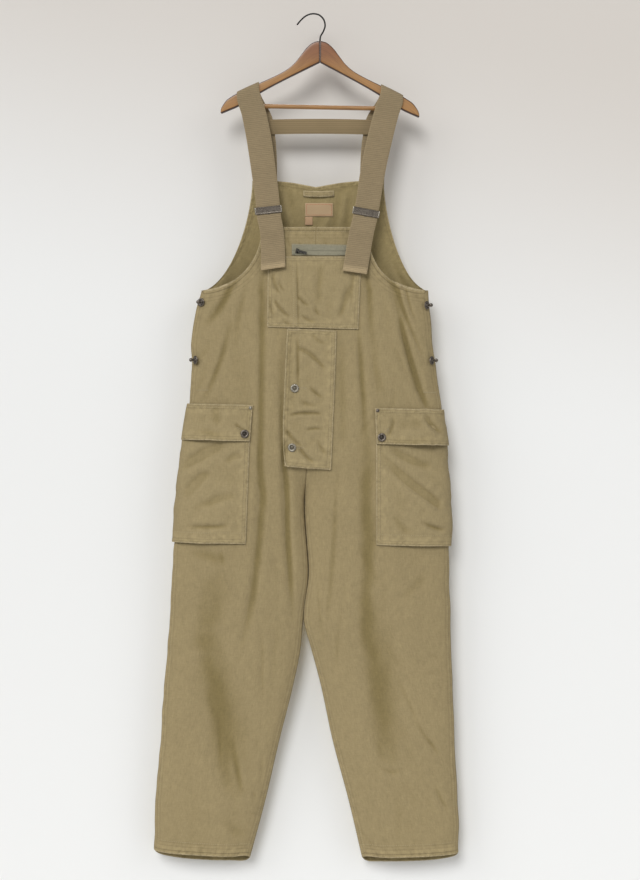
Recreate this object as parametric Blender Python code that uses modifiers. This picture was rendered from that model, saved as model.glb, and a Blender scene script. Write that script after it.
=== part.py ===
"""Dungarees hanging flat on a wooden hanger.

Metres in the scene, millimetres in the tables. +Z is up, +X is the wearer's left, and the fronts face -Y.
The origin is the inside top of the hanger's hook, where a peg or rail carries everything.

Every panel is a wall of cloth through level sections. A section of the body is a flattened oval, cut at
the centre seams and at the sides. A section of a leg is a narrower oval, cut at the inseam and the
outseam. Between the two, the oval of the body turns into the ovals of the legs, which gives the curved
centre seam down to the crotch. Pockets and flaps are made from the points of the panel below, moved out.
"""
import math

import bmesh
import bpy
import numpy as np
from mathutils import Matrix, Vector
from mathutils.bvhtree import BVHTree

MM = 0.001

# Cloth and the gaps between pieces
CLOTH = 1.5
WEBBING = 1.5
THIN = 1.0
SEAM_GAP = 0.3
LAY_GAP = 0.5
VENT_GAP = 3.0
ROUNDNESS = 0.6

# Levels that cut the garment
BIB_TOP = -427.0
BACK_TOP_MIDDLE = -343.0
BACK_TOP_CORNER = -331.0
BACK_TOP_RAISE = 8.0
BACK_TOP_FADE = 70.0
CORNER_LEVEL = -553.0
VENT_END = -755.0
RISE_TOP = -880.0
CROTCH = -985.0
HEM = -1674.0
HEM_DIP = 7.0

# Sections from the top down. The sides are the outermost points, the inner edges are where the two legs
# face each other, which is the centre seam above the crotch, and the depths are of the front and the back.
SECTION_COLUMNS = ("level", "right_side", "right_inner", "left_inner", "left_side", "front", "back")
SECTIONS = (
    (-330.0, -224.0, 7.0, 7.0, 232.0, 12.0, 14.0),
    (-427.0, -224.0, 7.0, 7.0, 232.0, 17.0, 19.0),
    (-553.0, -221.0, 4.0, 4.0, 230.0, 27.0, 27.0),
    (-611.0, -236.0, 2.0, 2.0, 236.0, 32.0, 32.0),
    (-651.0, -240.0, 1.0, 1.0, 238.0, 35.0, 35.0),
    (-711.0, -241.0, -2.0, -2.0, 246.0, 38.0, 38.0),
    (-771.0, -245.0, -4.0, -4.0, 255.0, 40.0, 41.0),
    (-831.0, -253.0, -7.0, -7.0, 262.0, 41.0, 43.0),
    (-911.0, -263.0, -12.0, -12.0, 268.0, 41.0, 43.0),
    (-991.0, -271.0, -17.0, -15.2, 273.0, 39.0, 41.0),
    (-1051.0, -275.0, -13.0, -11.2, 273.0, 36.0, 37.0),
    (-1111.0, -280.0, -9.0, -7.2, 272.0, 34.0, 34.0),
    (-1211.0, -285.0, -19.5, -17.0, 275.0, 32.0, 32.0),
    (-1271.0, -289.0, -25.0, -1.0, 276.0, 31.0, 31.0),
    (-1331.0, -295.0, -37.0, 15.0, 279.0, 30.0, 30.0),
    (-1451.0, -303.0, -67.0, 41.0, 283.0, 29.0, 29.0),
    (-1571.0, -313.0, -95.0, 73.0, 290.0, 28.0, 28.0),
    (-1690.0, -316.0, -127.0, 101.0, 292.0, 26.0, 26.0),
)

# Armholes: the corner at the top of each edge, and how square the curve is between there and the side
ARMHOLES = {
    ("front", -1): {"top_x": -101.0, "squareness": 2.0},
    ("front", 1): {"top_x": 111.0, "squareness": 2.3},
    ("back", -1): {"top_x": -121.0, "squareness": 1.65},
    ("back", 1): {"top_x": 143.0, "squareness": 1.65},
}

# The largest folds: soft troughs along a line, sunk towards the inside. A row is the x and z of one end,
# the x and z of the other, the width and the depth.
FOLDS = {
    "front": (
        (-93.0, -541.0, -101.0, -1000.0, 15.0, 5.0),
        (99.0, -541.0, 99.0, -1091.0, 15.0, 5.0),
        (-62.0, -651.0, -64.0, -930.0, 9.0, 2.0),
        (151.0, -555.0, 231.0, -771.0, 13.0, 4.0),
        (125.0, -571.0, 205.0, -811.0, 12.0, 2.5),
        (-155.0, -571.0, -215.0, -771.0, 15.0, 3.0),
        (-115.0, -1071.0, -145.0, -1291.0, 17.0, 3.0),
        (-195.0, -1211.0, -235.0, -1391.0, 22.0, 3.0),
        (99.0, -1081.0, 107.0, -1331.0, 17.0, 3.0),
        (45.0, -1371.0, 80.0, -1501.0, 15.0, 2.5),
    ),
    "back": (
        (-70.0, -380.0, -95.0, -640.0, 18.0, 3.5),
        (85.0, -380.0, 110.0, -620.0, 16.0, 3.0),
        (-150.0, -560.0, -200.0, -730.0, 15.0, 3.0),
        (160.0, -565.0, 215.0, -745.0, 14.0, 3.0),
        (-120.0, -790.0, -105.0, -1060.0, 20.0, 4.0),
        (115.0, -800.0, 130.0, -1080.0, 18.0, 3.5),
        (-190.0, -1190.0, -150.0, -1380.0, 22.0, 3.0),
        (150.0, -1210.0, 190.0, -1420.0, 20.0, 3.0),
    ),
}

# The four corners of each piece, top then bottom, seen from the front: x and z
FRONT_PIECES = {
    "bib_pocket": ((-88.0, -487.0), (97.0, -487.0), (-89.0, -627.5), (91.0, -632.0)),
    "zip_tape": ((-41.0, -461.0), (70.0, -463.0), (-41.0, -484.0), (70.0, -484.5)),
    "fly_flap": ((-50.0, -630.0), (48.0, -634.5), (-59.0, -901.0), (37.0, -910.0)),
}
BACK_PIECES = {
    "label": ((-15.0, -375.0), (41.0, -375.0), (-15.0, -402.0), (41.0, -402.0)),
    "size_tab": ((-15.0, -402.6), (0.0, -402.6), (-15.0, -419.0), (0.0, -419.0)),
}

# Cargo pockets and flaps: x of the edge on the front at the top and the bottom, x of the edge on the back at
# the top, then z at the front's edge and at the side, for the top and the bottom
CARGO = {
    "cargo_pocket_right": (-121.0, -131.5, -196.0, -787.0, -784.0, -1057.0, -1051.5),
    "cargo_flap_right": (-117.0, -123.0, -196.0, -782.0, -779.0, -854.0, -851.0),
    "cargo_pocket_left": (125.5, 127.0, 208.0, -793.0, -796.0, -1059.0, -1062.0),
    "cargo_flap_left": (123.0, 127.0, 208.0, -788.0, -791.0, -859.0, -862.0),
}
WRAP_DEPTHS = (-40.0, -36.0, 38.0)

# Hanging loop: its middle, half its length, its two edges, and how far it stands off, bows out and sags
LOOP_MIDDLE = (12.5, -356.0)
LOOP_HALF = 31.0
LOOP_EDGES = (-350.0, -362.0)
LOOP_STAND = 1.0
LOOP_BOW = 2.6
LOOP_SAG = 1.5

# Columns of each panel, from the centre seam or inseam (0) to the side (1)
ACROSS = np.array((0.0, 0.1, 0.2, 0.3, 0.41, 0.52, 0.63, 0.74, 0.84, 0.92, 0.97, 1.0))
ARMHOLE_ROWS = 6
WAIST_ROWS = 5
LEG_ROWS = 20

# Straps: at each station the outer edge's x and z, the inner edge's x and z, and the depth. The back runs up
# to the hanger's arm and the front runs down from it, and the bend over the arm is worked out between them.
STRAPS = {
    "right": {
        "back": (
            (-119.0, -369.0, -71.0, -363.0, 18.6),
            (-120.0, -333.0, -71.0, -327.0, 16.6),
            (-124.0, -246.0, -75.0, -240.0, 12.5),
            (-128.0, -216.0, -80.0, -207.0, 10.7),
        ),
        "over": (-151.0, -107.0),
        "front": (
            (-141.0, -203.0, -93.0, -195.0, -9.6),
            (-119.0, -335.0, -71.0, -327.0, -16.3),
            (-113.0, -380.0, -65.5, -375.0, -21.2),
            (-110.5, -407.0, -63.0, -402.0, -21.2),
            (-103.0, -447.0, -56.5, -440.0, -24.5),
            (-102.0, -511.0, -53.5, -504.0, -29.0),
        ),
    },
    "left": {
        "back": (
            (143.0, -369.0, 94.0, -366.0, 18.6),
            (144.0, -333.0, 95.0, -331.0, 16.6),
            (149.0, -246.0, 101.0, -240.0, 12.5),
            (155.0, -218.0, 107.0, -209.0, 10.7),
        ),
        "over": (181.0, 137.0),
        "front": (
            (172.0, -203.0, 124.0, -192.0, -9.6),
            (144.0, -323.0, 96.0, -312.0, -16.3),
            (133.5, -386.0, 86.0, -377.0, -21.2),
            (128.5, -413.0, 81.0, -404.0, -21.2),
            (121.0, -446.0, 73.0, -438.0, -24.5),
            (109.0, -518.0, 60.5, -511.0, -29.0),
        ),
    },
}
BEND_STEPS = 8
BEND_GAP = 1.0

# Cross strap: its two ends, its top edge there, how far that edge drops to one end and bows up, and its depth
CROSS_ENDS = (-90.0, 120.0)
CROSS_TOP = -208.5
CROSS_DROP = 0.5
CROSS_BOW = 1.6
CROSS_WIDTH = 30.0
CROSS_DEPTH = 7.9

# Hanger: one arm's outline from the joint outwards, and its tilt about the joint
ARM_JOINT_X = 15.0
ARM_TILT = math.radians(-1.15)
ARM_THICKNESS = 12.0
ARM_EDGE = 3.0
ARM_UPPER = ((0.0, -53.0), (13.0, -56.5), (25.0, -66.0), (38.0, -82.5), (51.0, -99.0), (66.0, -112.0),
             (88.0, -124.5), (121.0, -140.0), (166.0, -161.5), (187.0, -176.0), (198.0, -192.0))
ARM_LOWER = ((199.0, -203.0), (161.0, -186.0), (116.0, -157.5), (0.0, -96.0))
BAR_RADIUS = 4.4
BAR_Z = -185.5
BAR_REACH = 150.5
HOOK_WIRE = 1.6
HOOK_PATH = ((-30.5, -20.0), (-22.5, -10.5), (-12.5, -2.3), (0.0, 1.6), (13.5, -1.0), (22.3, -10.0),
             (25.2, -22.0), (21.5, -34.0), (16.0, -44.0), (15.0, -52.4))

# Buckles: the height of each on its strap, and the sizes of the frame round the strap
BUCKLE_LEVELS = {"right": -391.0, "left": -395.5}
BUCKLE_LENGTH = 54.0
BUCKLE_HEIGHT = 14.5
BUCKLE_PLATE = 1.6
BUCKLE_POST = 1.8
BUCKLE_BAR = 1.2
BUCKLE_GAP = 0.4
ANCHOR_INSET = 0.05
ANCHOR_LENGTH = 16.0
ANCHOR_LIFT = 2.9

# Turned pieces: radius and height from the top of the axis to its foot
BUTTON_PROFILE = ((0.0, 2.3), (2.1, 2.0), (2.9, 1.3), (4.6, 1.6), (6.2, 2.9), (8.0, 2.5), (8.5, 1.2),
                  (7.4, 0.0), (0.0, 0.0))
RIVET_PROFILE = ((0.0, 1.7), (1.8, 1.5), (3.2, 0.7), (3.5, 0.0), (0.0, 0.0))
STUD_PROFILE = ((0.0, 14.6), (2.4, 13.8), (3.8, 11.0), (2.6, 8.3), (1.7, 7.2), (1.7, 2.6), (4.6, 1.9),
                (6.4, 2.9), (8.0, 2.4), (8.5, 1.2), (7.4, 0.0), (0.0, 0.0))
TURNED_STEPS = 14
REST_GAP = 0.4

# Buttons and rivets: profile, look, x, z and how many layers of cloth lie on the panel below
FIXINGS = {
    "fly_button_top": ("button", "nickel", -35.0, -749.0, 1),
    "fly_button_bottom": ("button", "nickel", -40.0, -866.0, 1),
    "cargo_button_right": ("button", "dark_steel", -134.0, -839.0, 2),
    "cargo_button_left": ("button", "dark_steel", 137.0, -846.0, 2),
    "cargo_rivet_right": ("rivet", "nickel", -122.5, -787.5, 2),
    "cargo_rivet_left": ("rivet", "dark_steel", 129.0, -793.0, 2),
}

# Studs of the side vents: x, z and the turn of the axis from straight ahead towards the side
STUDS = {
    "side_stud_right_top": (-221.0, -577.0, 30.0),
    "side_stud_right_bottom": (-230.0, -692.0, 58.0),
    "side_stud_left_top": (225.5, -583.0, 52.0),
    "side_stud_left_bottom": (234.5, -693.0, 58.0),
}

# Zip: the slider's place on the tape, its body, and the tab that lies along the tape from its bridge
SLIDER_X, SLIDER_Z = -30.0, -475.5
SLIDER_SIZE = (6.4, 2.0, 9.4)
SLIDER_GAP = 0.8
BRIDGE_RADIUS = 0.6
BRIDGE_LEG = 1.2
BRIDGE_INSET = 0.1
BRIDGE_TILT = math.radians(14.0)
EYE_INNER = 1.0
EYE_OUTER = 1.7
TAB_LENGTH = 19.0
TAB_THICKNESS = 0.9
TAB_WIDTH = 5.2

# Colours: base colour, roughness, metallic
LOOKS = {
    "twill": ((0.300, 0.237, 0.125), 0.9, 0.0),
    "webbing": ((0.255, 0.197, 0.116), 0.92, 0.0),
    "tape": ((0.245, 0.223, 0.163), 0.85, 0.0),
    "label": ((0.560, 0.330, 0.180), 0.8, 0.0),
    "wood": ((0.320, 0.165, 0.070), 0.45, 0.0),
    "steel": ((0.120, 0.105, 0.085), 0.4, 1.0),
    "dark_steel": ((0.060, 0.055, 0.050), 0.45, 1.0),
    "nickel": ((0.420, 0.400, 0.360), 0.35, 1.0),
}


def clear_scene():
    """Remove every object, so that the scene holds only this part."""
    for old in list(bpy.data.objects):
        bpy.data.objects.remove(old, do_unlink=True)


def collection(name, hidden=False):
    """Return a new collection linked to the scene."""
    group = bpy.data.collections.new(name)
    group.hide_render = hidden
    bpy.context.scene.collection.children.link(group)
    return group


def paint(obj, look):
    """Give an object a material of its own, in one of the named looks."""
    colour, roughness, metallic = LOOKS[look]
    material = bpy.data.materials.new(f"{obj.name}_{look}")
    material.use_nodes = True
    shader = material.node_tree.nodes["Principled BSDF"]
    shader.inputs["Base Color"].default_value = (*colour, 1.0)
    shader.inputs["Roughness"].default_value = roughness
    shader.inputs["Metallic"].default_value = metallic
    obj.data.materials.append(material)


# Sections

def column(table, names, name):
    """Return one named column of a table as an array."""
    return np.array([row[names.index(name)] for row in table])


def along(name, z):
    """Return a column of the section table at the heights z, as a smooth curve through its rows."""
    levels = column(SECTIONS, SECTION_COLUMNS, "level")[::-1]
    values = column(SECTIONS, SECTION_COLUMNS, name)[::-1]
    slopes = np.gradient(values, levels)
    z = np.clip(z, levels[0], levels[-1])
    k = np.clip(np.searchsorted(levels, z) - 1, 0, len(levels) - 2)
    width = levels[k + 1] - levels[k]
    t = (z - levels[k]) / width
    start = values[k] * (1 + 2 * t) * (1 - t) ** 2 + slopes[k] * width * t * (1 - t) ** 2
    end = values[k + 1] * t * t * (3 - 2 * t) + slopes[k + 1] * width * t * t * (t - 1)
    return start + end


def body_share(z):
    """Return 1 where the section is the body's, 0 where it is a leg's, and a smooth blend between."""
    t = np.clip((z - CROTCH) / (RISE_TOP - CROTCH), 0.0, 1.0)
    return t * t * (3 - 2 * t)


def fold_depth(face, x, z):
    """Return how deep the folds of a face sink at the points x, z."""
    depth = np.zeros_like(x)
    for from_x, from_z, to_x, to_z, width, most in FOLDS[face]:
        run_x, run_z = to_x - from_x, to_z - from_z
        length = math.hypot(run_x, run_z)
        t = ((x - from_x) * run_x + (z - from_z) * run_z) / length ** 2
        off = ((x - from_x) * run_z - (z - from_z) * run_x) / length
        t = np.clip(t, 0.0, 1.0)
        depth += most * np.exp(-(off / width) ** 2) * np.sqrt(4 * t * (1 - t))
    return depth


def armhole(face, side, steps):
    """Return the armhole's edge, from the top corner to the side: x and z of each row."""
    shape = ARMHOLES[(face, side)]
    top_z = BIB_TOP if face == "front" else BACK_TOP_CORNER
    side_x = float(along("right_side" if side < 0 else "left_side", np.array(CORNER_LEVEL)))
    turn = np.linspace(0.0, math.pi / 2, steps + 1)
    bend = 2.0 / shape["squareness"]
    x = shape["top_x"] + (side_x - shape["top_x"]) * (1 - np.cos(turn) ** bend)
    z = top_z + (CORNER_LEVEL - top_z) * np.sin(turn) ** bend
    return x, z


def panel_rows(face, side):
    """Return the rows of a panel: z at its centre, z at its edge, and x at its edge."""
    edge_x, edge_z = armhole(face, side, ARMHOLE_ROWS)
    top = BIB_TOP if face == "front" else BACK_TOP_MIDDLE
    centre_z = np.linspace(top, CORNER_LEVEL, ARMHOLE_ROWS + 1)
    below = np.concatenate((np.linspace(CORNER_LEVEL, VENT_END, WAIST_ROWS + 1)[1:],
                            np.linspace(VENT_END, HEM, LEG_ROWS + 1)[1:]))
    below_x = along("right_side" if side < 0 else "left_side", below)
    return (np.concatenate((centre_z, below)), np.concatenate((edge_z, below)),
            np.concatenate((edge_x, below_x)))


def half_face(face, side):
    """Return the middle of the cloth and its outward normals over half of a face, rows by columns."""
    centre_z, edge_z, edge_x = (v[:, None] for v in panel_rows(face, side))
    phi = ACROSS[None, :]
    z = centre_z + (edge_z - centre_z) * phi ** 2
    if face == "back":
        fade = np.clip(1 - (centre_z[0] - centre_z) / BACK_TOP_FADE, 0.0, 1.0)
        z = z + BACK_TOP_RAISE * np.sin(math.pi * phi) * fade
    z = z - HEM_DIP * np.sin(math.pi * phi) * np.clip((-z + HEM + 60.0) / 60.0, 0.0, 1.0)
    side_name, inner_name = ("right_side", "right_inner") if side < 0 else ("left_side", "left_inner")
    out = along(side_name, z)
    inner = along(inner_name, z)
    edge_inner = along(inner_name, edge_z)
    reach = np.clip((edge_x - edge_inner) / (along(side_name, edge_z) - edge_inner), 0.0, 1.0)
    share = body_share(z)
    across = np.sin(phi * np.arcsin(reach))
    body_x = inner + (out - inner) * across
    body_flat = np.maximum(1 - across ** 2, 0.0) ** (ROUNDNESS / 2)
    leg_x = inner + (out - inner) * (1 - np.cos(math.pi * phi)) / 2
    leg_flat = np.abs(np.sin(math.pi * phi)) ** ROUNDNESS
    x = share * body_x + (1 - share) * leg_x
    flat = share * body_flat + (1 - share) * leg_flat
    sign = -1.0 if face == "front" else 1.0
    y = sign * flat * (along(face, z) - fold_depth(face, x, z))
    middle = np.stack((x, y, z), axis=-1)
    down = np.gradient(middle, axis=0)
    over = np.gradient(middle, axis=1)
    normal = np.cross(down, over) * (-sign * side)
    seam = share[:, 0]
    normal[:, 0, 0] *= 1 - seam
    normal[:, 0, 1] *= seam
    normal[ARMHOLE_ROWS:, -1, 1] = 0.0
    normal /= np.linalg.norm(normal, axis=-1, keepdims=True)
    return middle, normal


def whole_face(face):
    """Return a face as one sheet, from the right side to the left side."""
    right, right_normal = half_face(face, -1)
    left, left_normal = half_face(face, 1)
    middle = np.concatenate((right[:, :0:-1], left), axis=1)
    normal = np.concatenate((right_normal[:, :0:-1], left_normal), axis=1)
    seam = len(ACROSS) - 1
    middle[:, seam] = (right[:, 0] + left[:, 0]) / 2
    return middle, normal


def round_side(side):
    """Return one side as a sheet, from the front's centre round the side to the back's centre.

    Its rows are those from the armhole's corner down.
    """
    front, front_normal = (grid[ARMHOLE_ROWS:] for grid in half_face("front", side))
    back, back_normal = (grid[ARMHOLE_ROWS:, -2::-1] for grid in half_face("back", side))
    return np.concatenate((front, back), axis=1), np.concatenate((front_normal, back_normal), axis=1)


# Walls of cloth

def wall_between(outer, inner):
    """Return a closed bmesh wall between two grids of points, with the same diagonals on both."""
    rows, columns = outer.shape[:2]
    mesh = bmesh.new()
    first, second = ([[mesh.verts.new(grid[i, j] * MM) for j in range(columns)] for i in range(rows)]
                     for grid in (outer, inner))
    for i in range(rows - 1):
        for j in range(columns - 1):
            cell = ((i, j), (i + 1, j), (i + 1, j + 1), (i, j + 1))
            one = np.linalg.norm(outer[cell[0]] - outer[cell[2]])
            other = np.linalg.norm(outer[cell[1]] - outer[cell[3]])
            halves = ((0, 1, 2), (0, 2, 3)) if one <= other else ((1, 2, 3), (1, 3, 0))
            for half in halves:
                mesh.faces.new([first[cell[k][0]][cell[k][1]] for k in half])
                mesh.faces.new([second[cell[k][0]][cell[k][1]] for k in reversed(half)])
    rim = [(0, j) for j in range(columns)]
    rim += [(i, columns - 1) for i in range(1, rows)]
    rim += [(rows - 1, j) for j in range(columns - 2, -1, -1)]
    rim += [(i, 0) for i in range(rows - 2, 0, -1)]
    for a, b in zip(rim, rim[1:] + rim[:1]):
        mesh.faces.new([first[a[0]][a[1]], first[b[0]][b[1]], second[b[0]][b[1]], second[a[0]][a[1]]])
    bmesh.ops.recalc_face_normals(mesh, faces=mesh.faces)
    return mesh


def add_mesh(group, name, mesh, look):
    """Add a finished bmesh as an object."""
    data = bpy.data.meshes.new(name)
    mesh.to_mesh(data)
    mesh.free()
    obj = bpy.data.objects.new(name, data)
    group.objects.link(obj)
    paint(obj, look)
    return obj


def add_wall(group, name, middle, normal, wall, look):
    """Add a wall of cloth whose middle and outward normals are given as grids."""
    mesh = wall_between(middle + normal * wall / 2, middle - normal * wall / 2)
    return add_mesh(group, name, mesh, look)


def keep_seams_clear(points, face, side):
    """Hold a panel's points off the middle plane of the seams it is sewn along."""
    sign = -1.0 if face == "front" else 1.0
    clear = points.copy()
    z = points[..., 2]
    centre = (along("right_inner", z) + along("left_inner", z)) / 2
    if side:
        clear[..., 0] = centre + side * np.maximum(side * (clear[..., 0] - centre), SEAM_GAP / 2)
    gap = np.where(z > VENT_END, VENT_GAP, SEAM_GAP) / 2
    clear[..., 1] = sign * np.maximum(sign * clear[..., 1], gap)
    return clear


def add_panel(group, name, face, side, middle, normal):
    """Add a panel of the body, cut clear of its neighbours."""
    outer = keep_seams_clear(middle + normal * CLOTH / 2, face, side)
    inner = keep_seams_clear(middle - normal * CLOTH / 2, face, side)
    return add_mesh(group, name, wall_between(outer, inner), "twill")


def add_body(group):
    """Add the two fronts, the back bib and the two back legs."""
    waist = ARMHOLE_ROWS + WAIST_ROWS
    for side, name in ((-1, "right"), (1, "left")):
        middle, normal = half_face("front", side)
        add_panel(group, f"front_{name}", "front", side, middle, normal)
        middle, normal = half_face("back", side)
        legs = middle[waist:].copy()
        legs[0, :, 2] -= SEAM_GAP
        leg_normal = normal[waist:].copy()
        leg_normal[0, :, 2] = 0.0
        add_panel(group, f"back_{name}", "back", side, legs, leg_normal)
    middle, normal = whole_face("back")
    bib_normal = normal[:waist + 1].copy()
    bib_normal[-1, :, 2] = 0.0
    add_panel(group, "back_bib", "back", 0, middle[:waist + 1], bib_normal)


# Pieces laid on a panel

def upright_cut(x_top, x_low, z_top, z_low, keep):
    """Return a plane through an upright edge seen from the front. keep is the side of it that stays."""
    lean = (x_low - x_top) / (z_low - z_top)
    return Vector((x_top, 0.0, z_top)), Vector((-keep, 0.0, keep * lean))


def level_cut(x, z, x_other, z_other, keep):
    """Return a plane through a level edge seen from the front. keep is +1 for what is above it."""
    lean = (z_other - z) / (x_other - x)
    return Vector((x, 0.0, z)), Vector((keep * lean, 0.0, -keep))


def wrap_cut(front_top, front_low, back_top, side):
    """Return the plane through a pocket's edge on the front and its edge on the back."""
    corners = [Vector(point) for point in (front_top, front_low, back_top)]
    normal = (corners[1] - corners[0]).cross(corners[2] - corners[0])
    if normal.x * side > 0:
        normal = -normal
    return corners[0], normal


def add_laid(group, name, sheet, lift, wall, look, cuts):
    """Add a piece that lies on a sheet: the sheet's own points moved out, cut along the piece's edges."""
    middle, normal = sheet
    mesh = wall_between(middle + normal * (lift + wall / 2), middle + normal * (lift - wall / 2))
    for point, away in cuts:
        everything = mesh.verts[:] + mesh.edges[:] + mesh.faces[:]
        cut = bmesh.ops.bisect_plane(mesh, geom=everything, dist=1e-7, plane_co=point * MM, plane_no=away,
                                     clear_outer=True)
        edges = [piece for piece in cut["geom_cut"] if isinstance(piece, bmesh.types.BMEdge)]
        bmesh.ops.contextual_create(mesh, geom=edges)
    bmesh.ops.dissolve_degenerate(mesh, dist=1e-6, edges=mesh.edges)
    bmesh.ops.triangulate(mesh, faces=mesh.faces)
    bmesh.ops.recalc_face_normals(mesh, faces=mesh.faces)
    return add_mesh(group, name, mesh, look)


def four_sides(top_near, top_far, low_near, low_far):
    """Return the cuts of a four-sided piece, from its corners (x, z) seen from the front."""
    side = 1 if top_far[0] > top_near[0] else -1
    return (upright_cut(top_near[0], low_near[0], top_near[1], low_near[1], side),
            upright_cut(top_far[0], low_far[0], top_far[1], low_far[1], -side),
            level_cut(*top_near, *top_far, -1), level_cut(*low_near, *low_far, 1))


def lift_over(layers):
    """Return how far the middle of a piece lies off the middle of the panel, over the layers below it."""
    return (1 + layers) * (CLOTH + LAY_GAP)


def rows_between(sheet, top, low, margin=45.0):
    """Return the rows of a sheet that a piece between two heights needs."""
    middle, normal = sheet
    rows = [i for i in range(len(middle)) if middle[i, :, 2].min() < top + margin
            and middle[i, :, 2].max() > low - margin]
    return middle[rows], normal[rows]


def add_pockets(group, front, sides):
    """Add the bib pocket, the zip's tape, the fly flap and the cargo pockets with their flaps."""
    for name, corners in FRONT_PIECES.items():
        heights = [corner[1] for corner in corners]
        wall, look = (THIN, "tape") if name == "zip_tape" else (CLOTH, "twill")
        add_laid(group, name, rows_between(front, max(heights), min(heights)), lift_over(0), wall, look,
                 four_sides(*corners))
    for name, row in CARGO.items():
        top_x, low_x, back_x, top_z, top_side_z, low_z, low_side_z = row
        side = 1 if top_x > 0 else -1
        far = 1.1 * float(along("left_side" if side > 0 else "right_side", np.array(low_z)))
        top_y, low_y, back_y = WRAP_DEPTHS
        cuts = (wrap_cut((top_x, top_y, top_z), (low_x, low_y, low_z), (back_x, back_y, top_z), side),
                level_cut(top_x, top_z, far, top_side_z, -1), level_cut(low_x, low_z, far, low_side_z, 1))
        sheet = rows_between(sides["left" if side > 0 else "right"], top_z, low_z)
        add_laid(group, name, sheet, lift_over(1 if "flap" in name else 0), CLOTH, "twill", cuts)


def add_inside_pieces(group, back):
    """Add the hanging loop, the label and the size tab on the inside of the back bib."""
    for name, corners in BACK_PIECES.items():
        add_laid(group, name, rows_between(back, corners[0][1], corners[2][1]), -lift_over(0), THIN, "label",
                 four_sides(*corners))
    place, _ = spot_on(back, *LOOP_MIDDLE)
    steps = np.linspace(-1.0, 1.0, 9)[:, None]
    x = place.x + LOOP_HALF * steps
    y = place.y - CLOTH / 2 - LAY_GAP - LOOP_STAND - LOOP_BOW * (1 - steps ** 4)
    z = np.array(LOOP_EDGES)[None, :] - LOOP_SAG * (1 - steps ** 2)
    strip = np.stack(np.broadcast_arrays(x, y, z), axis=-1)
    facing = np.zeros_like(strip)
    facing[..., 1] = -1.0
    add_wall(group, "hanging_loop", strip, facing, THIN, "twill")


def spot_on(sheet, x, z):
    """Return the point of a sheet at a place seen from the front, and the outward normal there."""
    middle, _ = sheet
    rows, columns = middle.shape[:2]
    tree = BVHTree.FromPolygons([Vector(p) for p in middle.reshape(-1, 3)],
                                [(i * columns + j, (i + 1) * columns + j, (i + 1) * columns + j + 1,
                                  i * columns + j + 1) for i in range(rows - 1) for j in range(columns - 1)])
    place, facing, _, _ = tree.ray_cast(Vector((x, -300.0, z)), Vector((0.0, 1.0, 0.0)))
    if facing.y > 0:
        facing = -facing
    return place, facing


# Straps

def arm_top(x):
    """Return the height of the hanger's upper edge at x."""
    side = np.sign(x - ARM_JOINT_X)
    upper = np.array(ARM_UPPER)
    out = np.abs(x - ARM_JOINT_X)
    height = np.interp(out, upper[:, 0], upper[:, 1])
    return height + math.tan(ARM_TILT) * side * out


def strap_stations(name):
    """Return the two edges of a strap at each station, from the back bib over the arm to the tail's end."""
    table = STRAPS[name]
    stations = [((r[0], r[4], r[1]), (r[2], r[4], r[3])) for r in table["back"]]
    radius = math.sqrt(2) * (ARM_THICKNESS / 2 - ARM_EDGE) + ARM_EDGE + BEND_GAP + WEBBING / 2
    for k in range(BEND_STEPS + 1):
        turn = math.pi * k / BEND_STEPS
        edges = []
        for x in table["over"]:
            centre = float(arm_top(np.array(x))) - ARM_THICKNESS / 2
            edges.append((x, radius * math.cos(turn), centre + radius * math.sin(turn)))
        stations.append(tuple(edges))
    stations += [((r[0], r[4], r[1]), (r[2], r[4], r[3])) for r in table["front"]]
    return np.array(stations)


def refine(stations, most):
    """Return the stations with straight stretches cut into steps no longer than most."""
    rows = [stations[0]]
    for a, b in zip(stations[:-1], stations[1:]):
        parts = max(1, math.ceil(np.linalg.norm(b.mean(0) - a.mean(0)) / most))
        rows += [a + (b - a) * k / parts for k in range(1, parts + 1)]
    return np.array(rows)


def ribbon_normals(grid, facing):
    """Return the normals of a ribbon, all on the same side as its first row's facing."""
    down = np.gradient(grid, axis=0)
    over = np.gradient(grid, axis=1)
    normal = np.cross(down, over)
    normal /= np.linalg.norm(normal, axis=-1, keepdims=True)
    if normal[0, 0] @ np.array(facing) < 0:
        normal = -normal
    return normal


def strap_at(name, level):
    """Return a strap's two edges in front of the bib, where the middle of its width is at a height."""
    outer_x, outer_z, inner_x, inner_z, depth = np.array(STRAPS[name]["front"]).T
    down = -(outer_z + inner_z) / 2
    return [np.array([np.interp(-level, down, values) for values in edge])
            for edge in ((outer_x, depth, outer_z), (inner_x, depth, inner_z))]


def add_straps(group):
    """Add the two shoulder straps and the cross strap."""
    for name in STRAPS:
        grid = refine(strap_stations(name), 60.0)
        add_wall(group, f"strap_{name}", grid, ribbon_normals(grid, (0.0, 1.0, 0.0)), WEBBING, "webbing")
    steps = np.linspace(0.0, 1.0, 9)[:, None]
    x = CROSS_ENDS[0] + (CROSS_ENDS[1] - CROSS_ENDS[0]) * steps
    z = CROSS_TOP - CROSS_DROP * steps + CROSS_BOW * np.sin(math.pi * steps) - np.array((0.0, CROSS_WIDTH))
    strip = np.stack(np.broadcast_arrays(x, CROSS_DEPTH, z), axis=-1)
    facing = np.zeros_like(strip)
    facing[..., 1] = -1.0
    add_wall(group, "cross_strap", strip, facing, WEBBING, "webbing")


# Hard pieces

def add_box(group, name, size, place, look):
    """Add a box by its size and centre."""
    mesh = bmesh.new()
    bmesh.ops.create_cube(mesh, size=1.0, matrix=Matrix.Diagonal((*[k * MM for k in size], 1.0)))
    obj = add_mesh(group, name, mesh, look)
    obj.location = Vector(place) * MM
    return obj


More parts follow.
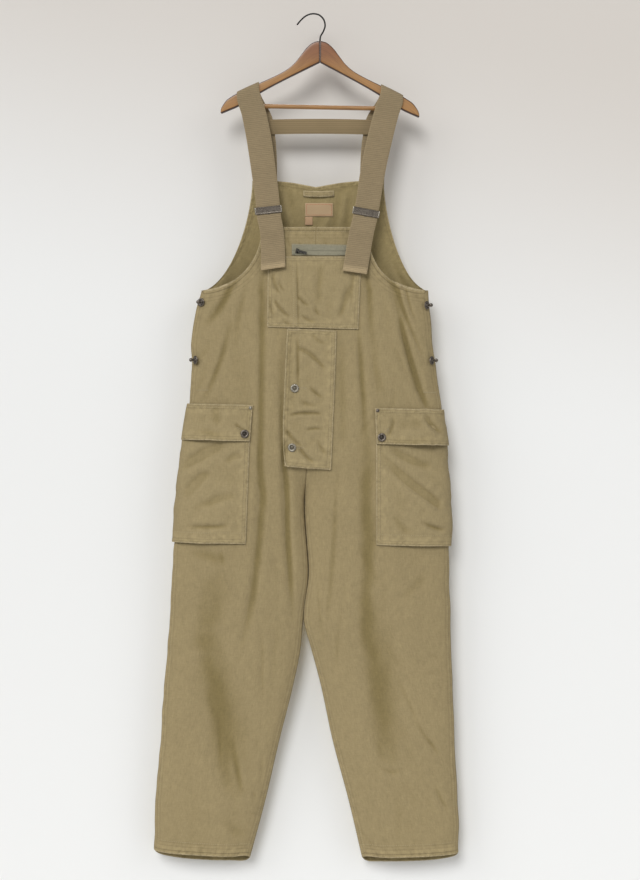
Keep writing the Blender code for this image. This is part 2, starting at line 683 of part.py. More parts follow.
def add_rod(group, name, radius, length, place, look, sides=12):
    """Add a round rod along X by its radius, length and centre."""
    mesh = bmesh.new()
    bmesh.ops.create_cone(mesh, cap_ends=True, segments=sides, radius1=radius * MM, radius2=radius * MM,
                          depth=length * MM, matrix=Matrix.Rotation(math.pi / 2, 4, "Y"))
    obj = add_mesh(group, name, mesh, look)
    obj.location = Vector(place) * MM
    return obj


def join(target, others):
    """Unite other solids into the target with Boolean modifiers, and hide them."""
    for other in others:
        union = target.modifiers.new(f"with_{other.name}", "BOOLEAN")
        union.operation = "UNION"
        union.solver = "EXACT"
        union.object = other
        other.hide_render = True
        other.display_type = "WIRE"


def add_turned(group, name, profile, place, axis, look):
    """Add a turned piece that stands on a place along an axis."""
    mesh = bmesh.new()
    points = [mesh.verts.new((radius * MM, 0.0, height * MM)) for radius, height in profile]
    for a, b in zip(points, points[1:]):
        mesh.edges.new((a, b))
    obj = add_mesh(group, name, mesh, look)
    screw = obj.modifiers.new("turned", "SCREW")
    screw.axis = "Z"
    screw.steps = TURNED_STEPS
    screw.render_steps = TURNED_STEPS
    screw.use_merge_vertices = True
    screw.merge_threshold = 0.00001
    obj.location = Vector(place) * MM
    obj.rotation_euler = Vector(axis).to_track_quat("Z", "Y").to_euler()
    return obj


def add_fixings(group, front):
    """Add the buttons, the rivets and the studs of the side vents."""
    profiles = {"button": BUTTON_PROFILE, "rivet": RIVET_PROFILE}
    for name, (kind, look, x, z, layers) in FIXINGS.items():
        place, facing = spot_on(front, x, z)
        lift = lift_over(layers - 1) + CLOTH / 2 + REST_GAP
        add_turned(group, name, profiles[kind], place + facing * lift, facing, look)
    for name, (x, z, turn) in STUDS.items():
        place, facing = spot_on(front, x, z)
        angle = math.radians(turn) * (1 if x > 0 else -1)
        axis = Vector((math.sin(angle), -math.cos(angle), 0.0))
        lift = CLOTH / 2 + REST_GAP + STUD_PROFILE[-2][0] * math.sin(axis.angle(facing))
        add_turned(group, name, STUD_PROFILE, place + facing * lift, axis, "dark_steel")


def add_buckles(group, cutters):
    """Add the buckles round the straps, and the anchors that tie them to the bib."""
    strap_face = WEBBING / 2 + BUCKLE_GAP
    bar_y = strap_face + WEBBING + BUCKLE_GAP + BUCKLE_BAR
    plate_y = -strap_face - BUCKLE_PLATE / 2
    post_x = (BUCKLE_LENGTH - BUCKLE_POST) / 2
    for name, level in BUCKLE_LEVELS.items():
        outer, inner = strap_at(name, level)
        centre = Vector((outer + inner) / 2)
        low, high = sorted((outer, inner), key=lambda edge: edge[0])
        tilt = math.atan2(high[2] - low[2], high[0] - low[0])
        plate_size = (BUCKLE_LENGTH, BUCKLE_PLATE, BUCKLE_HEIGHT)
        plate = add_box(group, f"buckle_{name}", plate_size, (0.0, 0.0, 0.0), "steel")
        pieces = [add_rod(cutters, f"bar_{name}", BUCKLE_BAR, BUCKLE_LENGTH, (0.0, bar_y, 0.0), "steel", 8)]
        pieces += [add_box(cutters, f"post_{name}_{k}", (BUCKLE_POST, bar_y - plate_y, 2 * BUCKLE_BAR),
                           (k * post_x, (bar_y + plate_y) / 2, 0.0), "steel") for k in (-1, 1)]
        turn = Matrix.Translation(centre * MM) @ Matrix.Rotation(-tilt, 4, "Y")
        plate.matrix_world = turn @ Matrix.Translation((0.0, plate_y * MM, 0.0))
        for piece in pieces:
            piece.matrix_world = turn @ Matrix.Translation(piece.location)
        join(plate, pieces)
        add_anchor(group, name, level, float(centre.y) + bar_y, strap_face + WEBBING / 2 - bar_y)


def add_anchor(group, name, level, bar_y, reach):
    """Add the webbing that runs from the bib up round a buckle's rear bar. reach is its bend's radius."""
    radius = -reach
    profile = [(level - ANCHOR_LENGTH, bar_y + radius), (level, bar_y + radius)]
    profile += [(level + radius * math.sin(turn), bar_y + radius * math.cos(turn))
                for turn in (math.pi / 4, math.pi / 2, 3 * math.pi / 4)]
    profile += [(level, bar_y - radius), (level - ANCHOR_LENGTH, bar_y - radius)]
    rows = []
    for z, y in profile:
        outer, inner = strap_at(name, level if abs(z - level) < 4 else z)
        shift = z - level if abs(z - level) < 4 else 0.0
        rows.append([np.array((edge[0], y, edge[2] + shift)) for edge in (outer, inner)])
    front = whole_face("front")
    for z in (BIB_TOP + 2.0, BIB_TOP - 38.0):
        points = []
        for edge in strap_at(name, z):
            place, _ = spot_on(front, 0.8 * edge[0], min(edge[2], BIB_TOP - 2.0))
            points.append(np.array((edge[0], place.y - ANCHOR_LIFT, edge[2])))
        rows.append(points)
    grid = np.array(rows)
    width = grid[:, 1] - grid[:, 0]
    grid = np.stack((grid[:, 0] + ANCHOR_INSET * width, grid[:, 1] - ANCHOR_INSET * width), axis=1)
    add_wall(group, f"anchor_{name}", grid, ribbon_normals(grid, (0.0, 1.0, 0.0)), WEBBING, "webbing")


def add_zip(group, cutters, front):
    """Add the zip's slider with its bridge, and the tab that swings on the bridge.

    The bridge stands across the zip, tilted a little, so the tab lies along the tape with its end lower.
    """
    place, _ = spot_on(front, SLIDER_X, SLIDER_Z)
    _, thick, height = SLIDER_SIZE
    stand = thick / 2 + SEAM_GAP + EYE_OUTER
    bridge_y = place.y - lift_over(0) - THIN / 2 - SLIDER_GAP - thick / 2 - stand
    bridge = Matrix.Translation(Vector((SLIDER_X, bridge_y, SLIDER_Z)) * MM)
    bridge = bridge @ Matrix.Rotation(BRIDGE_TILT, 4, "Y")
    slider = add_box(group, "zip_slider", SLIDER_SIZE, (0.0, stand, 0.0), "nickel")
    leg_size = (2 * BRIDGE_RADIUS, stand, BRIDGE_LEG)
    leg_z = (height - BRIDGE_LEG) / 2 - BRIDGE_INSET
    pieces = [add_box(cutters, f"slider_leg_{k}", leg_size, (0.0, stand / 2, k * leg_z), "nickel")
              for k in (-1, 1)]
    for piece in [slider] + pieces:
        piece.matrix_world = bridge @ Matrix.Translation(piece.location)
    rod = add_rod(cutters, "slider_bridge", BRIDGE_RADIUS - BRIDGE_INSET / 2, 2 * leg_z, (0.0, 0.0, 0.0),
                  "nickel", 8)
    rod.matrix_world = bridge @ Matrix.Rotation(math.pi / 2, 4, "Y")
    join(slider, pieces + [rod])
    outline = bpy.data.curves.new("zip_pull", "CURVE")
    outline.dimensions = "2D"
    outline.fill_mode = "BOTH"
    outline.extrude = TAB_WIDTH / 2 * MM
    half = TAB_THICKNESS / 2
    start = math.asin(half / EYE_OUTER)
    ring = [(EYE_OUTER * math.sin(t), -EYE_OUTER * math.cos(t))
            for t in np.linspace(start, 2 * math.pi - start, 13)]
    ring += [(-half, -TAB_LENGTH), (half, -TAB_LENGTH)]
    hole = [(EYE_INNER * math.sin(t), -EYE_INNER * math.cos(t))
            for t in np.linspace(0.0, 2 * math.pi, 11)[:-1]]
    for points in (ring, hole):
        spline = outline.splines.new("POLY")
        spline.points.add(len(points) - 1)
        spline.points.foreach_set("co", [value for x, y in points for value in (x * MM, y * MM, 0.0, 1.0)])
        spline.use_cyclic_u = True
    pull = bpy.data.objects.new("zip_pull", outline)
    group.objects.link(pull)
    paint(pull, "nickel")
    pull.matrix_world = bridge @ Matrix.Rotation(math.pi / 2, 4, "Z")


def add_hanger(group):
    """Add the hanger's two arms, its bar and its hook."""
    for side, name in ((-1, "right"), (1, "left")):
        outline = bpy.data.curves.new(f"hanger_arm_{name}", "CURVE")
        outline.dimensions = "2D"
        outline.fill_mode = "BOTH"
        outline.resolution_u = 2
        outline.extrude = (ARM_THICKNESS / 2 - ARM_EDGE) * MM
        outline.bevel_depth = ARM_EDGE * MM
        outline.bevel_resolution = 1
        outline.offset = -ARM_EDGE * MM
        spline = outline.splines.new("BEZIER")
        points = ARM_UPPER + ARM_LOWER
        spline.bezier_points.add(len(points) - 1)
        for k, (out, height) in enumerate(points):
            x = side * max(out, SEAM_GAP / 2)
            point = spline.bezier_points[k]
            point.co = Vector((x, height + math.tan(ARM_TILT) * side * out, 0.0)) * MM
            smooth = 0 < k < len(ARM_UPPER)
            point.handle_left_type = point.handle_right_type = "AUTO" if smooth else "VECTOR"
        spline.use_cyclic_u = True
        arm = bpy.data.objects.new(f"hanger_arm_{name}", outline)
        group.objects.link(arm)
        arm.location = (ARM_JOINT_X * MM, 0.0, 0.0)
        arm.rotation_euler = (math.pi / 2, 0.0, 0.0)
        paint(arm, "wood")
    bar = add_rod(group, "hanger_bar", BAR_RADIUS, 2 * BAR_REACH, (ARM_JOINT_X, 0.0, BAR_Z), "wood", 16)
    bar.rotation_euler = (0.0, -ARM_TILT, 0.0)
    wire = bpy.data.curves.new("hanger_hook", "CURVE")
    wire.dimensions = "3D"
    wire.resolution_u = 4
    wire.bevel_depth = HOOK_WIRE * MM
    wire.bevel_resolution = 2
    wire.use_fill_caps = True
    spline = wire.splines.new("BEZIER")
    spline.bezier_points.add(len(HOOK_PATH) - 1)
    for point, (x, z) in zip(spline.bezier_points, HOOK_PATH):
        point.co = Vector((x, 0.0, z)) * MM
        point.handle_left_type = point.handle_right_type = "AUTO"
    hook = bpy.data.objects.new("hanger_hook", wire)
    group.objects.link(hook)
    paint(hook, "dark_steel")


def main():
    """Build the dungarees and the hanger."""
    clear_scene()
    group = collection("dungarees_on_a_hanger")
    cutters = collection("cutters", hidden=True)
    add_body(group)
    front = whole_face("front")
    back = whole_face("back")
    sides = {"right": round_side(-1), "left": round_side(1)}
    add_pockets(group, front, sides)
    add_inside_pieces(group, back)
    add_straps(group)
    add_fixings(group, front)
    add_buckles(group, cutters)
    add_zip(group, cutters, front)
    add_hanger(group)


main()
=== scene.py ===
# %% [markdown]
# # Dungarees on a wooden hanger
# A pair of washed cotton twill dungarees hangs flat on a wooden hanger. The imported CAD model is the
# frame: it says where every piece is. Each cloth piece is made again here as a finer shell in the same
# place, with its creases, hems and stitches, because a cloth solid is only a plain wall. All lengths in
# the tables are millimetres; +X is the wearer's left and the fronts face -Y.

import math

import bpy
import numpy as np
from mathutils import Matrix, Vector


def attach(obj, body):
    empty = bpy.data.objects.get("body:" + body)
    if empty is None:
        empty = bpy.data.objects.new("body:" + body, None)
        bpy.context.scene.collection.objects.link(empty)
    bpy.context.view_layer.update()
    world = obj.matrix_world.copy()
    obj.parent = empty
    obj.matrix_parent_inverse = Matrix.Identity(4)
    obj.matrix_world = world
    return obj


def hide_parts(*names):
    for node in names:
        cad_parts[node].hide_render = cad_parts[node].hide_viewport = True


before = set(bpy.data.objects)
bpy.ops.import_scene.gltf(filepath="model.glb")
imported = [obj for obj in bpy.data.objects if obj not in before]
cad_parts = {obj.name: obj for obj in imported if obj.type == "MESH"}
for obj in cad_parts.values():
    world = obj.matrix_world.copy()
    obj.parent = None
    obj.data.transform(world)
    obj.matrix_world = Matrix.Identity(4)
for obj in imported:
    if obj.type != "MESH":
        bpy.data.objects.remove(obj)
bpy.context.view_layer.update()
BODY = "garment_and_hanger"
MM = 0.001
SIDES = ((-1, "right"), (1, "left"))

# %% [markdown]
# ## Sections
# A pattern cutter describes a garment by its girth at each level. Here every level has the x of its two
# sides and of the centre seam or the two inseams, and how far the front and the back stand off the middle
# plane. A smooth curve through each column gives the garment between the levels, so a few rows make the
# whole outline.

# %% Section table and the curve through a column
BIB_TOP = -427.0
BACK_TOP_MIDDLE = -343.0
BACK_TOP_CORNER = -331.0
CORNER_LEVEL = -553.0
VENT_END = -755.0
RISE_TOP = -880.0
CROTCH = -985.0
HEM = -1674.0
ROUNDNESS = 0.6
CLOTH = 1.4
SEAM_GAP = 0.3
VENT_GAP = 3.0

COLUMNS = ("level", "right_side", "right_inner", "left_inner", "left_side", "front", "back")
SECTIONS = np.array((
    (-330.0, -224.0, 7.0, 7.0, 232.0, 12.0, 14.0),
    (-427.0, -224.0, 7.0, 7.0, 232.0, 17.0, 19.0),
    (-553.0, -221.0, 4.0, 4.0, 230.0, 27.0, 27.0),
    (-611.0, -236.0, 2.0, 2.0, 236.0, 32.0, 32.0),
    (-651.0, -240.0, 1.0, 1.0, 238.0, 35.0, 35.0),
    (-711.0, -241.0, -2.0, -2.0, 246.0, 38.0, 38.0),
    (-771.0, -245.0, -4.0, -4.0, 255.0, 40.0, 41.0),
    (-831.0, -253.0, -7.0, -7.0, 262.0, 41.0, 43.0),
    (-911.0, -263.0, -12.0, -12.0, 268.0, 41.0, 43.0),
    (-991.0, -271.0, -17.0, -15.2, 273.0, 39.0, 41.0),
    (-1051.0, -275.0, -13.0, -11.2, 273.0, 36.0, 37.0),
    (-1111.0, -280.0, -9.0, -7.2, 272.0, 34.0, 34.0),
    (-1211.0, -285.0, -19.5, -17.0, 275.0, 32.0, 32.0),
    (-1271.0, -289.0, -25.0, -1.0, 276.0, 31.0, 31.0),
    (-1331.0, -295.0, -37.0, 15.0, 279.0, 30.0, 30.0),
    (-1451.0, -303.0, -67.0, 41.0, 283.0, 29.0, 29.0),
    (-1571.0, -313.0, -95.0, 73.0, 290.0, 28.0, 28.0),
    (-1690.0, -316.0, -127.0, 101.0, 292.0, 26.0, 26.0),
))


def cubic(t, gap, here, there, slope_here, slope_there):
    """The cubic between two values that lie gap apart, with a given slope at each, at the share t of the
    way."""
    return (here * (1 + 2 * t) * (1 - t) ** 2 + slope_here * gap * t * (1 - t) ** 2
            + there * t * t * (3 - 2 * t) + slope_there * gap * t * t * (t - 1))


def along(name, z):
    """One column of the table at the heights z. Between two rows it is the cubic that leaves and arrives
    with the slopes that the neighbouring rows give."""
    levels = SECTIONS[::-1, 0]
    values = SECTIONS[::-1, COLUMNS.index(name)]
    slopes = np.gradient(values, levels)
    z = np.clip(z, levels[0], levels[-1])
    k = np.clip(np.searchsorted(levels, z) - 1, 0, len(levels) - 2)
    gap = levels[k + 1] - levels[k]
    return cubic((z - levels[k]) / gap, gap, values[k], values[k + 1], slopes[k], slopes[k + 1])


def ease(t):
    """0 below 0, 1 above 1, and the smooth step 3t^2 - 2t^3 between."""
    t = np.clip(t, 0.0, 1.0)
    return t * t * (3 - 2 * t)


print("width at the waist", round(float(along("left_side", VENT_END) - along("right_side", VENT_END))), "mm")

# %% [markdown]
# ## Creases
# Twill that hangs creases where something pulls: down from the corners of the bib, slantwise from the
# armholes, round the buttons, behind the knees. A simulation would put folds anywhere, so each main
# crease is a row of a table: its two ends, how far it bows sideways, its half-width, its depth and where
# along it it is deepest. Faint short creases and a slow unevenness between them come from seeded waves,
# the same at every run.

# %% Crease tables, by face or piece
# a low ridge beside a crease: its height over the depth, its place and half-width over the half-width
RIDGE = (0.22, 2.1, 1.1)
CREASES = {
    "front": (
        # from_x, from_z, to_x, to_z, bow, width, depth, deepest at, width on the other side where it differs
        (-99, -480, -104, -985, 0, 6, 4.2, 0.5, 9), (-103, -850, -149, -1295, -17, 7, 5.0, 0.4, 10),
        (-55, -850, -38, -1225, 4, 6, 7.5, 0.4, 8), (-62, -640, -60, -925, 0, 5, 3.0, 0.7, 8),
        (-139, -505, -216, -628, -7, 8, 5.5, 0.55, 10), (-160, -600, -219, -775, -8, 5, 4.5, 0.6, 8),
        (-140, -560, -164, -700, -4, 8, 2.0, 0.5), (-196, -650, -240, -700, -4, 6, 1.8, 0.6),
        (-205, -700, -242, -770, -4, 7, 2.0, 0.6), (-126, -500, -150, -620, -4, 7, 1.6, 0.5),
        (-194, -762, -186, -780, 0, 3, 1.4, 0.5), (-250, -1070, -165, -1088, 2, 13, 3.0, 0.5),
        (-182, -1070, -176, -1102, 0, 4, 1.8, 0.4), (-194, -1080, -214, -1275, -4, 30, 4.2, 0.6),
        (-214, -1230, -158, -1570, -6, 30, 8.0, 0.5, 46), (-181, -1365, -184, -1505, 0, 4, 1.8, 0.5),
        (-160, -1440, -138, -1558, 2, 5, 2.4, 0.6), (-101, -1225, -99, -1400, 0, 5, 2.0, 0.5),
        (-100, -1470, -103, -1540, 0, 4, 1.8, 0.5), (-240, -1290, -225, -1440, -4, 10, 1.6, 0.5),
        (-118, -1548, -110, -1566, 2, 4, 2.4, 0.5), (-128, -1590, -104, -1596, 3, 3.5, 2.2, 0.5),
        (-190, -1600, -120, -1640, 6, 12, 1.6, 0.5), (-66, -1200, -84, -1400, 3, 7, 1.4, 0.4),
        (104, -470, 119, -665, 0, 7, 3.2, 0.45), (89, -600, 104, -850, 0, 5, 4.2, 0.55, 8),
        (104, -790, 104, -1290, -6, 17, 5.0, 0.5), (110, -1150, 158, -1512, 2, 27, 6.6, 0.55, 42),
        (134, -1500, 184, -1503, 9, 5, 1.7, 0.5), (51, -890, 26, -1255, -3, 5, 2.4, 0.5, 8),
        (70, -1120, 48, -1315, 3, 5, 2.2, 0.5), (11, -1120, 24, -1262, 2, 5, 2.2, 0.5),
        (60, -620, 62, -900, 2, 9, 1.4, 0.5), (141, -500, 186, -660, -3, 6, 4.6, 0.5, 8),
        (172, -606, 231, -800, 5, 5.5, 11.0, 0.5, 9), (155, -515, 224, -700, 3, 4.5, 6.0, 0.5, 6),
        (176, -520, 208, -625, 3, 4, 4.6, 0.6), (163, -660, 226, -792, 3, 7, 3.8, 0.5, 10),
        (236, -600, 250, -790, 4, 7, 3.2, 0.5), (196, -562, 232, -572, 3, 3, 1.3, 0.5),
        (118, -640, 135, -760, 3, 9, 1.2, 0.5), (160, -1175, 228, -1110, 5, 9, 1.8, 0.5),
        (229, -1274, 265, -1288, 3, 4, 1.8, 0.5), (224, -1308, 256, -1318, 3, 4, 1.2, 0.5),
        (232, -1352, 256, -1374, 3, 4, 1.4, 0.5), (160, -1300, 256, -1494, 5, 4, 1.3, 0.5),
        (194, -1398, 252, -1470, 4, 5, 1.5, 0.5), (230, -1440, 256, -1480, 3, 6, 2.0, 0.5),
        (243, -1536, 272, -1590, 3, 5, 2.6, 0.5), (79, -1566, 98, -1600, 8, 4, 1.8, 0.5),
        (86, -1598, 128, -1660, 9, 4, 1.8, 0.5), (150, -1090, 140, -1200, 3, 10, 1.4, 0.4),
        (-30, -458, -8, -474, 2, 3.5, 1.4, 0.5), (-18, -440, 2, -452, 2, 3, 1.0, 0.5),
        (22, -446, 34, -470, 2, 3.5, 1.0, 0.5), (-52, -446, -40, -470, 2, 4, 1.2, 0.4),
    ),
    "back": (
        (-70, -340, -95, -640, 4, 15, 3.5, 0.5), (85, -340, 110, -620, -4, 13, 3.0, 0.5),
        (-150, -540, -200, -730, -4, 11, 4.5, 0.4), (160, -545, 215, -745, 4, 11, 4.5, 0.4),
        (-120, -790, -105, -1060, 5, 14, 5.0, 0.4), (115, -800, 130, -1080, -5, 13, 4.5, 0.4),
        (-40, -820, -90, -960, 6, 11, 3.0, 0.5), (30, -820, 80, -960, -6, 11, 3.0, 0.5),
        (-190, -1190, -150, -1380, 6, 16, 4.5, 0.5), (150, -1210, 190, -1420, 6, 15, 4.5, 0.5),
        (-230, -1090, -200, -1260, 4, 11, 3.0, 0.4), (220, -1090, 200, -1260, 4, 11, 3.0, 0.4),
        (168, -480, 206, -552, 4, 6, 3.2, 0.6), (186, -496, 222, -556, 4, 5, 2.6, 0.6),
        (150, -470, 184, -560, 4, 7, 2.4, 0.6), (-160, -490, -204, -560, -4, 7, 2.4, 0.6),
        (-58, -352, -40, -430, 3, 6, 2.4, 0.4), (66, -352, 50, -440, -3, 6, 2.4, 0.4),
        (40, -396, 16, -440, 3, 6, 1.6, 0.5), (-100, -1400, -130, -1560, 4, 10, 2.6, 0.5),
        (90, -1400, 120, -1560, 4, 10, 2.6, 0.5), (-240, -1420, -205, -1600, 4, 10, 2.2, 0.5),
        (240, -1420, 215, -1600, 4, 10, 2.2, 0.5), (0, -560, -30, -740, 6, 14, 2.4, 0.5),
    ),
    "bib_pocket": (
        (-78, -520, -64, -562, 3, 3.5, 2.4, 0.5), (-75, -574, -44, -608, 3, 3.2, 2.6, 0.4),
        (-67, -533, -55, -558, 2, 3, 1.6, 0.5), (-84, -565, -75, -608, 2, 3, 1.4, 0.5),
        (-31, -490, -27, -640, 0, 2.6, 1.5, 0.5), (-27, -566, -6, -586, 3, 3.5, 2.2, 0.4),
        (4, -588, 17, -606, 2, 4, 1.2, 0.5), (72, -540, 51, -610, -3, 5, 2.0, 0.5, 7),
        (-24, -602, 8, -618, 3, 3.5, 1.7, 0.5), (20, -500, 12, -600, 3, 8, 0.9, 0.4),
        (84, -510, 78, -600, 3, 4, 1.2, 0.5), (-60, -612, -38, -622, 2, 3, 1.2, 0.5),
    ),
    "fly_flap": (
        (-29, -668, 25, -713, -5, 4.2, 3.0, 0.4), (-29, -648, -28, -748, 0, 3, 1.7, 0.5),
        (-45, -802, 19, -800, -3, 3.2, 3.0, 0.5), (-14, -832, 20, -830, -2, 3, 1.6, 0.5),
        (-51, -829, -22, -864, 3, 3.2, 3.0, 0.5), (-27, -864, 5, -896, 3, 3.5, 2.6, 0.5),
        (-6, -744, 22, -768, 3, 4, 1.5, 0.5), (-2, -640, 26, -662, 3, 4, 1.4, 0.5),
        (-26, -772, 10, -784, 3, 5, 1.0, 0.5), (10, -850, 28, -880, 3, 4, 1.2, 0.5),
    ),
    "cargo_pocket_right": (
        (-172, -858, -262, -914, 5, 10, 3.0, 0.5), (-203, -912, -254, -968, 4, 10, 2.6, 0.5),
        (-140, -880, -172, -896, 3, 6, 1.6, 0.4), (-248, -1022, -162, -1020, 2, 5, 1.7, 0.5),
        (-150, -960, -236, -990, 4, 9, 1.6, 0.5),
    ),
    "cargo_pocket_left": (
        (124, -862, 254, -980, 8, 8, 4.0, 0.7), (150, -866, 236, -906, 4, 8, 2.0, 0.5),
        (163, -920, 254, -990, -6, 6, 2.4, 0.7), (214, -1012, 262, -1030, 3, 5, 2.0, 0.5),
        (160, -1000, 200, -1040, 4, 9, 1.2, 0.5),
    ),
    "cargo_flap_right": (
        (-152, -818, -132, -833, 3, 3.5, 1.8, 0.4), (-160, -846, -240, -836, 3, 8, 1.2, 0.5),
        (-190, -786, -184, -830, 3, 8, 1.2, 0.4),
    ),
    "cargo_flap_left": (
        (148, -846, 160, -806, 3, 3.5, 1.4, 0.4), (150, -852, 250, -846, 4, 9, 1.4, 0.5),
        (221, -800, 254, -840, 3, 5, 2.4, 0.5),
    ),
}


def waves(x, z, length, seed, count=9):
    """Smooth random heights near -1..1: the sum of plane waves of random direction, length and phase."""
    rng = np.random.default_rng(seed)
    turn = rng.uniform(0, 2 * math.pi, count)
    pitch = 2 * math.pi / (length * rng.uniform(0.7, 1.6, count))
    phase = rng.uniform(0, 2 * math.pi, count)
    angle = (x[..., None] * np.cos(turn) + z[..., None] * np.sin(turn)) * pitch + phase
    return np.sin(angle).sum(-1) / math.sqrt(count)


def faint_creases(seed, count=46):
    """Short shallow creases at seeded places, mostly upright."""
    rng = np.random.default_rng(seed)
    x, z = rng.uniform(-270, 270, count), rng.uniform(-1640, -560, count)
    lean, length = rng.normal(0, 0.35, count), rng.uniform(40, 130, count)
    low_x, low_z = x + length * np.sin(lean), z - length * np.cos(lean)
    bow, width = rng.uniform(-4, 4, count), rng.uniform(4, 8, count)
    depth, deepest = rng.uniform(0.4, 1.1, count), rng.uniform(0.3, 0.7, count)
    return np.column_stack((x, z, low_x, low_z, bow, width, depth, deepest))


def sunk(rows, x, z):
    """How deep the creases in rows sink at x, z. Across a crease the depth is a bell,
    exp(-(off/width)^2), with a low ridge on each side; along it, it is a half sine warped so that its top
    is where the row says."""
    depth = np.zeros_like(x)
    height, place, spread_out = RIDGE
    for x0, z0, x1, z1, bow, near, most, deepest, *far in rows:
        run = math.hypot(x1 - x0, z1 - z0)
        t = np.clip(((x - x0) * (x1 - x0) + (z - z0) * (z1 - z0)) / run ** 2, 0.0, 1.0)
        off = ((x - x0) * (z1 - z0) - (z - z0) * (x1 - x0)) / run - bow * 4 * t * (1 - t)
        width = np.where(off > 0, near, far[0] if far else near)
        fade = np.sin(math.pi * t ** (math.log(0.5) / math.log(deepest))) ** 0.8
        ridge = height * np.exp(-((np.abs(off) - place * width) / (spread_out * width)) ** 2)
        depth += most * fade * (np.exp(-(off / width) ** 2) - ridge)
    return depth


def cloth_depth(face, x, z):
    """All that a face sinks: its main creases, its faint ones and a slow unevenness, longer downwards."""
    seed = 3 if face == "front" else 8
    slow = 0.7 * waves(x, z * 0.35, 70.0, seed) + 0.25 * waves(x, z * 0.7, 24.0, seed + 1)
    return sunk(CREASES[face], x, z) + sunk(faint_creases(seed), x, z) + slow


print("main creases", {name: len(rows) for name, rows in CREASES.items()})

# %% [markdown]
# ## A face of the garment
# Above the crotch a level section is a flattened oval cut at the centre seams and the sides; below it
# each leg has an oval of its own, cut at the inseam and the outseam. One blend of the two gives the
# curved centre seam. The grid has fine cells along its edges, because that is where cloth turns over and
# is sewn.

# %% Grids of a half face, a whole face and one side
ARMHOLES = {("front", -1): (-101.0, 2.0), ("front", 1): (111.0, 2.3), ("back", -1): (-121.0, 1.65),
            ("back", 1): (143.0, 1.65)}
EDGE = np.array((0.0, 0.0018, 0.006))
ARMHOLE_ROWS = 46
COLUMNS_ACROSS = 84
ROW_HEIGHT = 4.0


def spread(count, edge=EDGE):
    """Even steps from 0 to 1, with two thin ones at each end."""
    return np.concatenate((edge, np.linspace(0, 1, count + 1)[1:-1], 1 - edge[::-1]))


def down_to(top, low):
    """Even levels from top down to low, with two thin steps at each end."""
    fine = np.array((0.0, 0.5, 1.6)) / (top - low)
    return top + (low - top) * spread(round((top - low) / ROW_HEIGHT), fine)


def outline_rows(face, side):
    """z at the centre, and z and x at the edge, of each row: first along the armhole's curve, a quarter
    of a superellipse, and then straight levels."""
    top_x, squareness = ARMHOLES[(face, side)]
    name = "right_side" if side < 0 else "left_side"
    top = BIB_TOP if face == "front" else BACK_TOP_CORNER
    turn = spread(ARMHOLE_ROWS)[:-3] * math.pi / 2
    bend = 2.0 / squareness
    edge_x = top_x + (float(along(name, CORNER_LEVEL)) - top_x) * (1 - np.cos(turn) ** bend)
    edge_z = top + (CORNER_LEVEL - top) * np.sin(turn) ** bend
    centre_top = BIB_TOP if face == "front" else BACK_TOP_MIDDLE
    centre_z = centre_top + (CORNER_LEVEL - centre_top) * turn / (math.pi / 2)
    levels = np.concatenate(([CORNER_LEVEL], down_to(CORNER_LEVEL, VENT_END)[3:-1], down_to(VENT_END, HEM)))
    return (np.concatenate((centre_z, levels)), np.concatenate((edge_z, levels)),
            np.concatenate((edge_x, along(name, levels))))


def outward(place, sign):
    """Unit normals of a grid: across its slopes down and over, on the side that sign says."""
    normal = np.cross(np.gradient(place, axis=0), np.gradient(place, axis=1)) * sign
    return normal / np.maximum(np.linalg.norm(normal, axis=-1, keepdims=True), 1e-9)


# how far up the hem's shape reaches, its dip, and how it slants from the inseam to the outseam
HEM_REACH = 60.0
HEM_DIP = 7.0
INSEAM_DROP = 10.0
OUTSEAM_RISE = {-1: 6.0, 1: 0.0}
# how far a hem is moved at the middle, to what power of the sine, and at the fold beside the inseam
HEM_MOVES = {"front": (6.0, 1.0, 3.0), "back": (-13.5, 0.5, -2.0)}
BACK_TOP_RISE = 8.0
BACK_TOP_REACH = 70.0


def hung_hem(face, side, phi, z):
    """Heights with the hem's shape, which fades out over HEM_REACH. Both faces dip in the middle and
    towards the inseam, and then the back is moved down and the front up, so that the inside of the back
    shows."""
    foot = np.clip((HEM + HEM_REACH - z) / HEM_REACH, 0.0, 1.0)
    arch = np.sin(math.pi * phi)
    z = z - (HEM_DIP * arch + INSEAM_DROP * (1 - phi) - OUTSEAM_RISE[side] * phi) * foot
    middle, power, fold = HEM_MOVES[face]
    return z + (middle * arch ** power + fold * np.exp(-((phi - 0.16) / 0.1) ** 2)) * foot ** 2


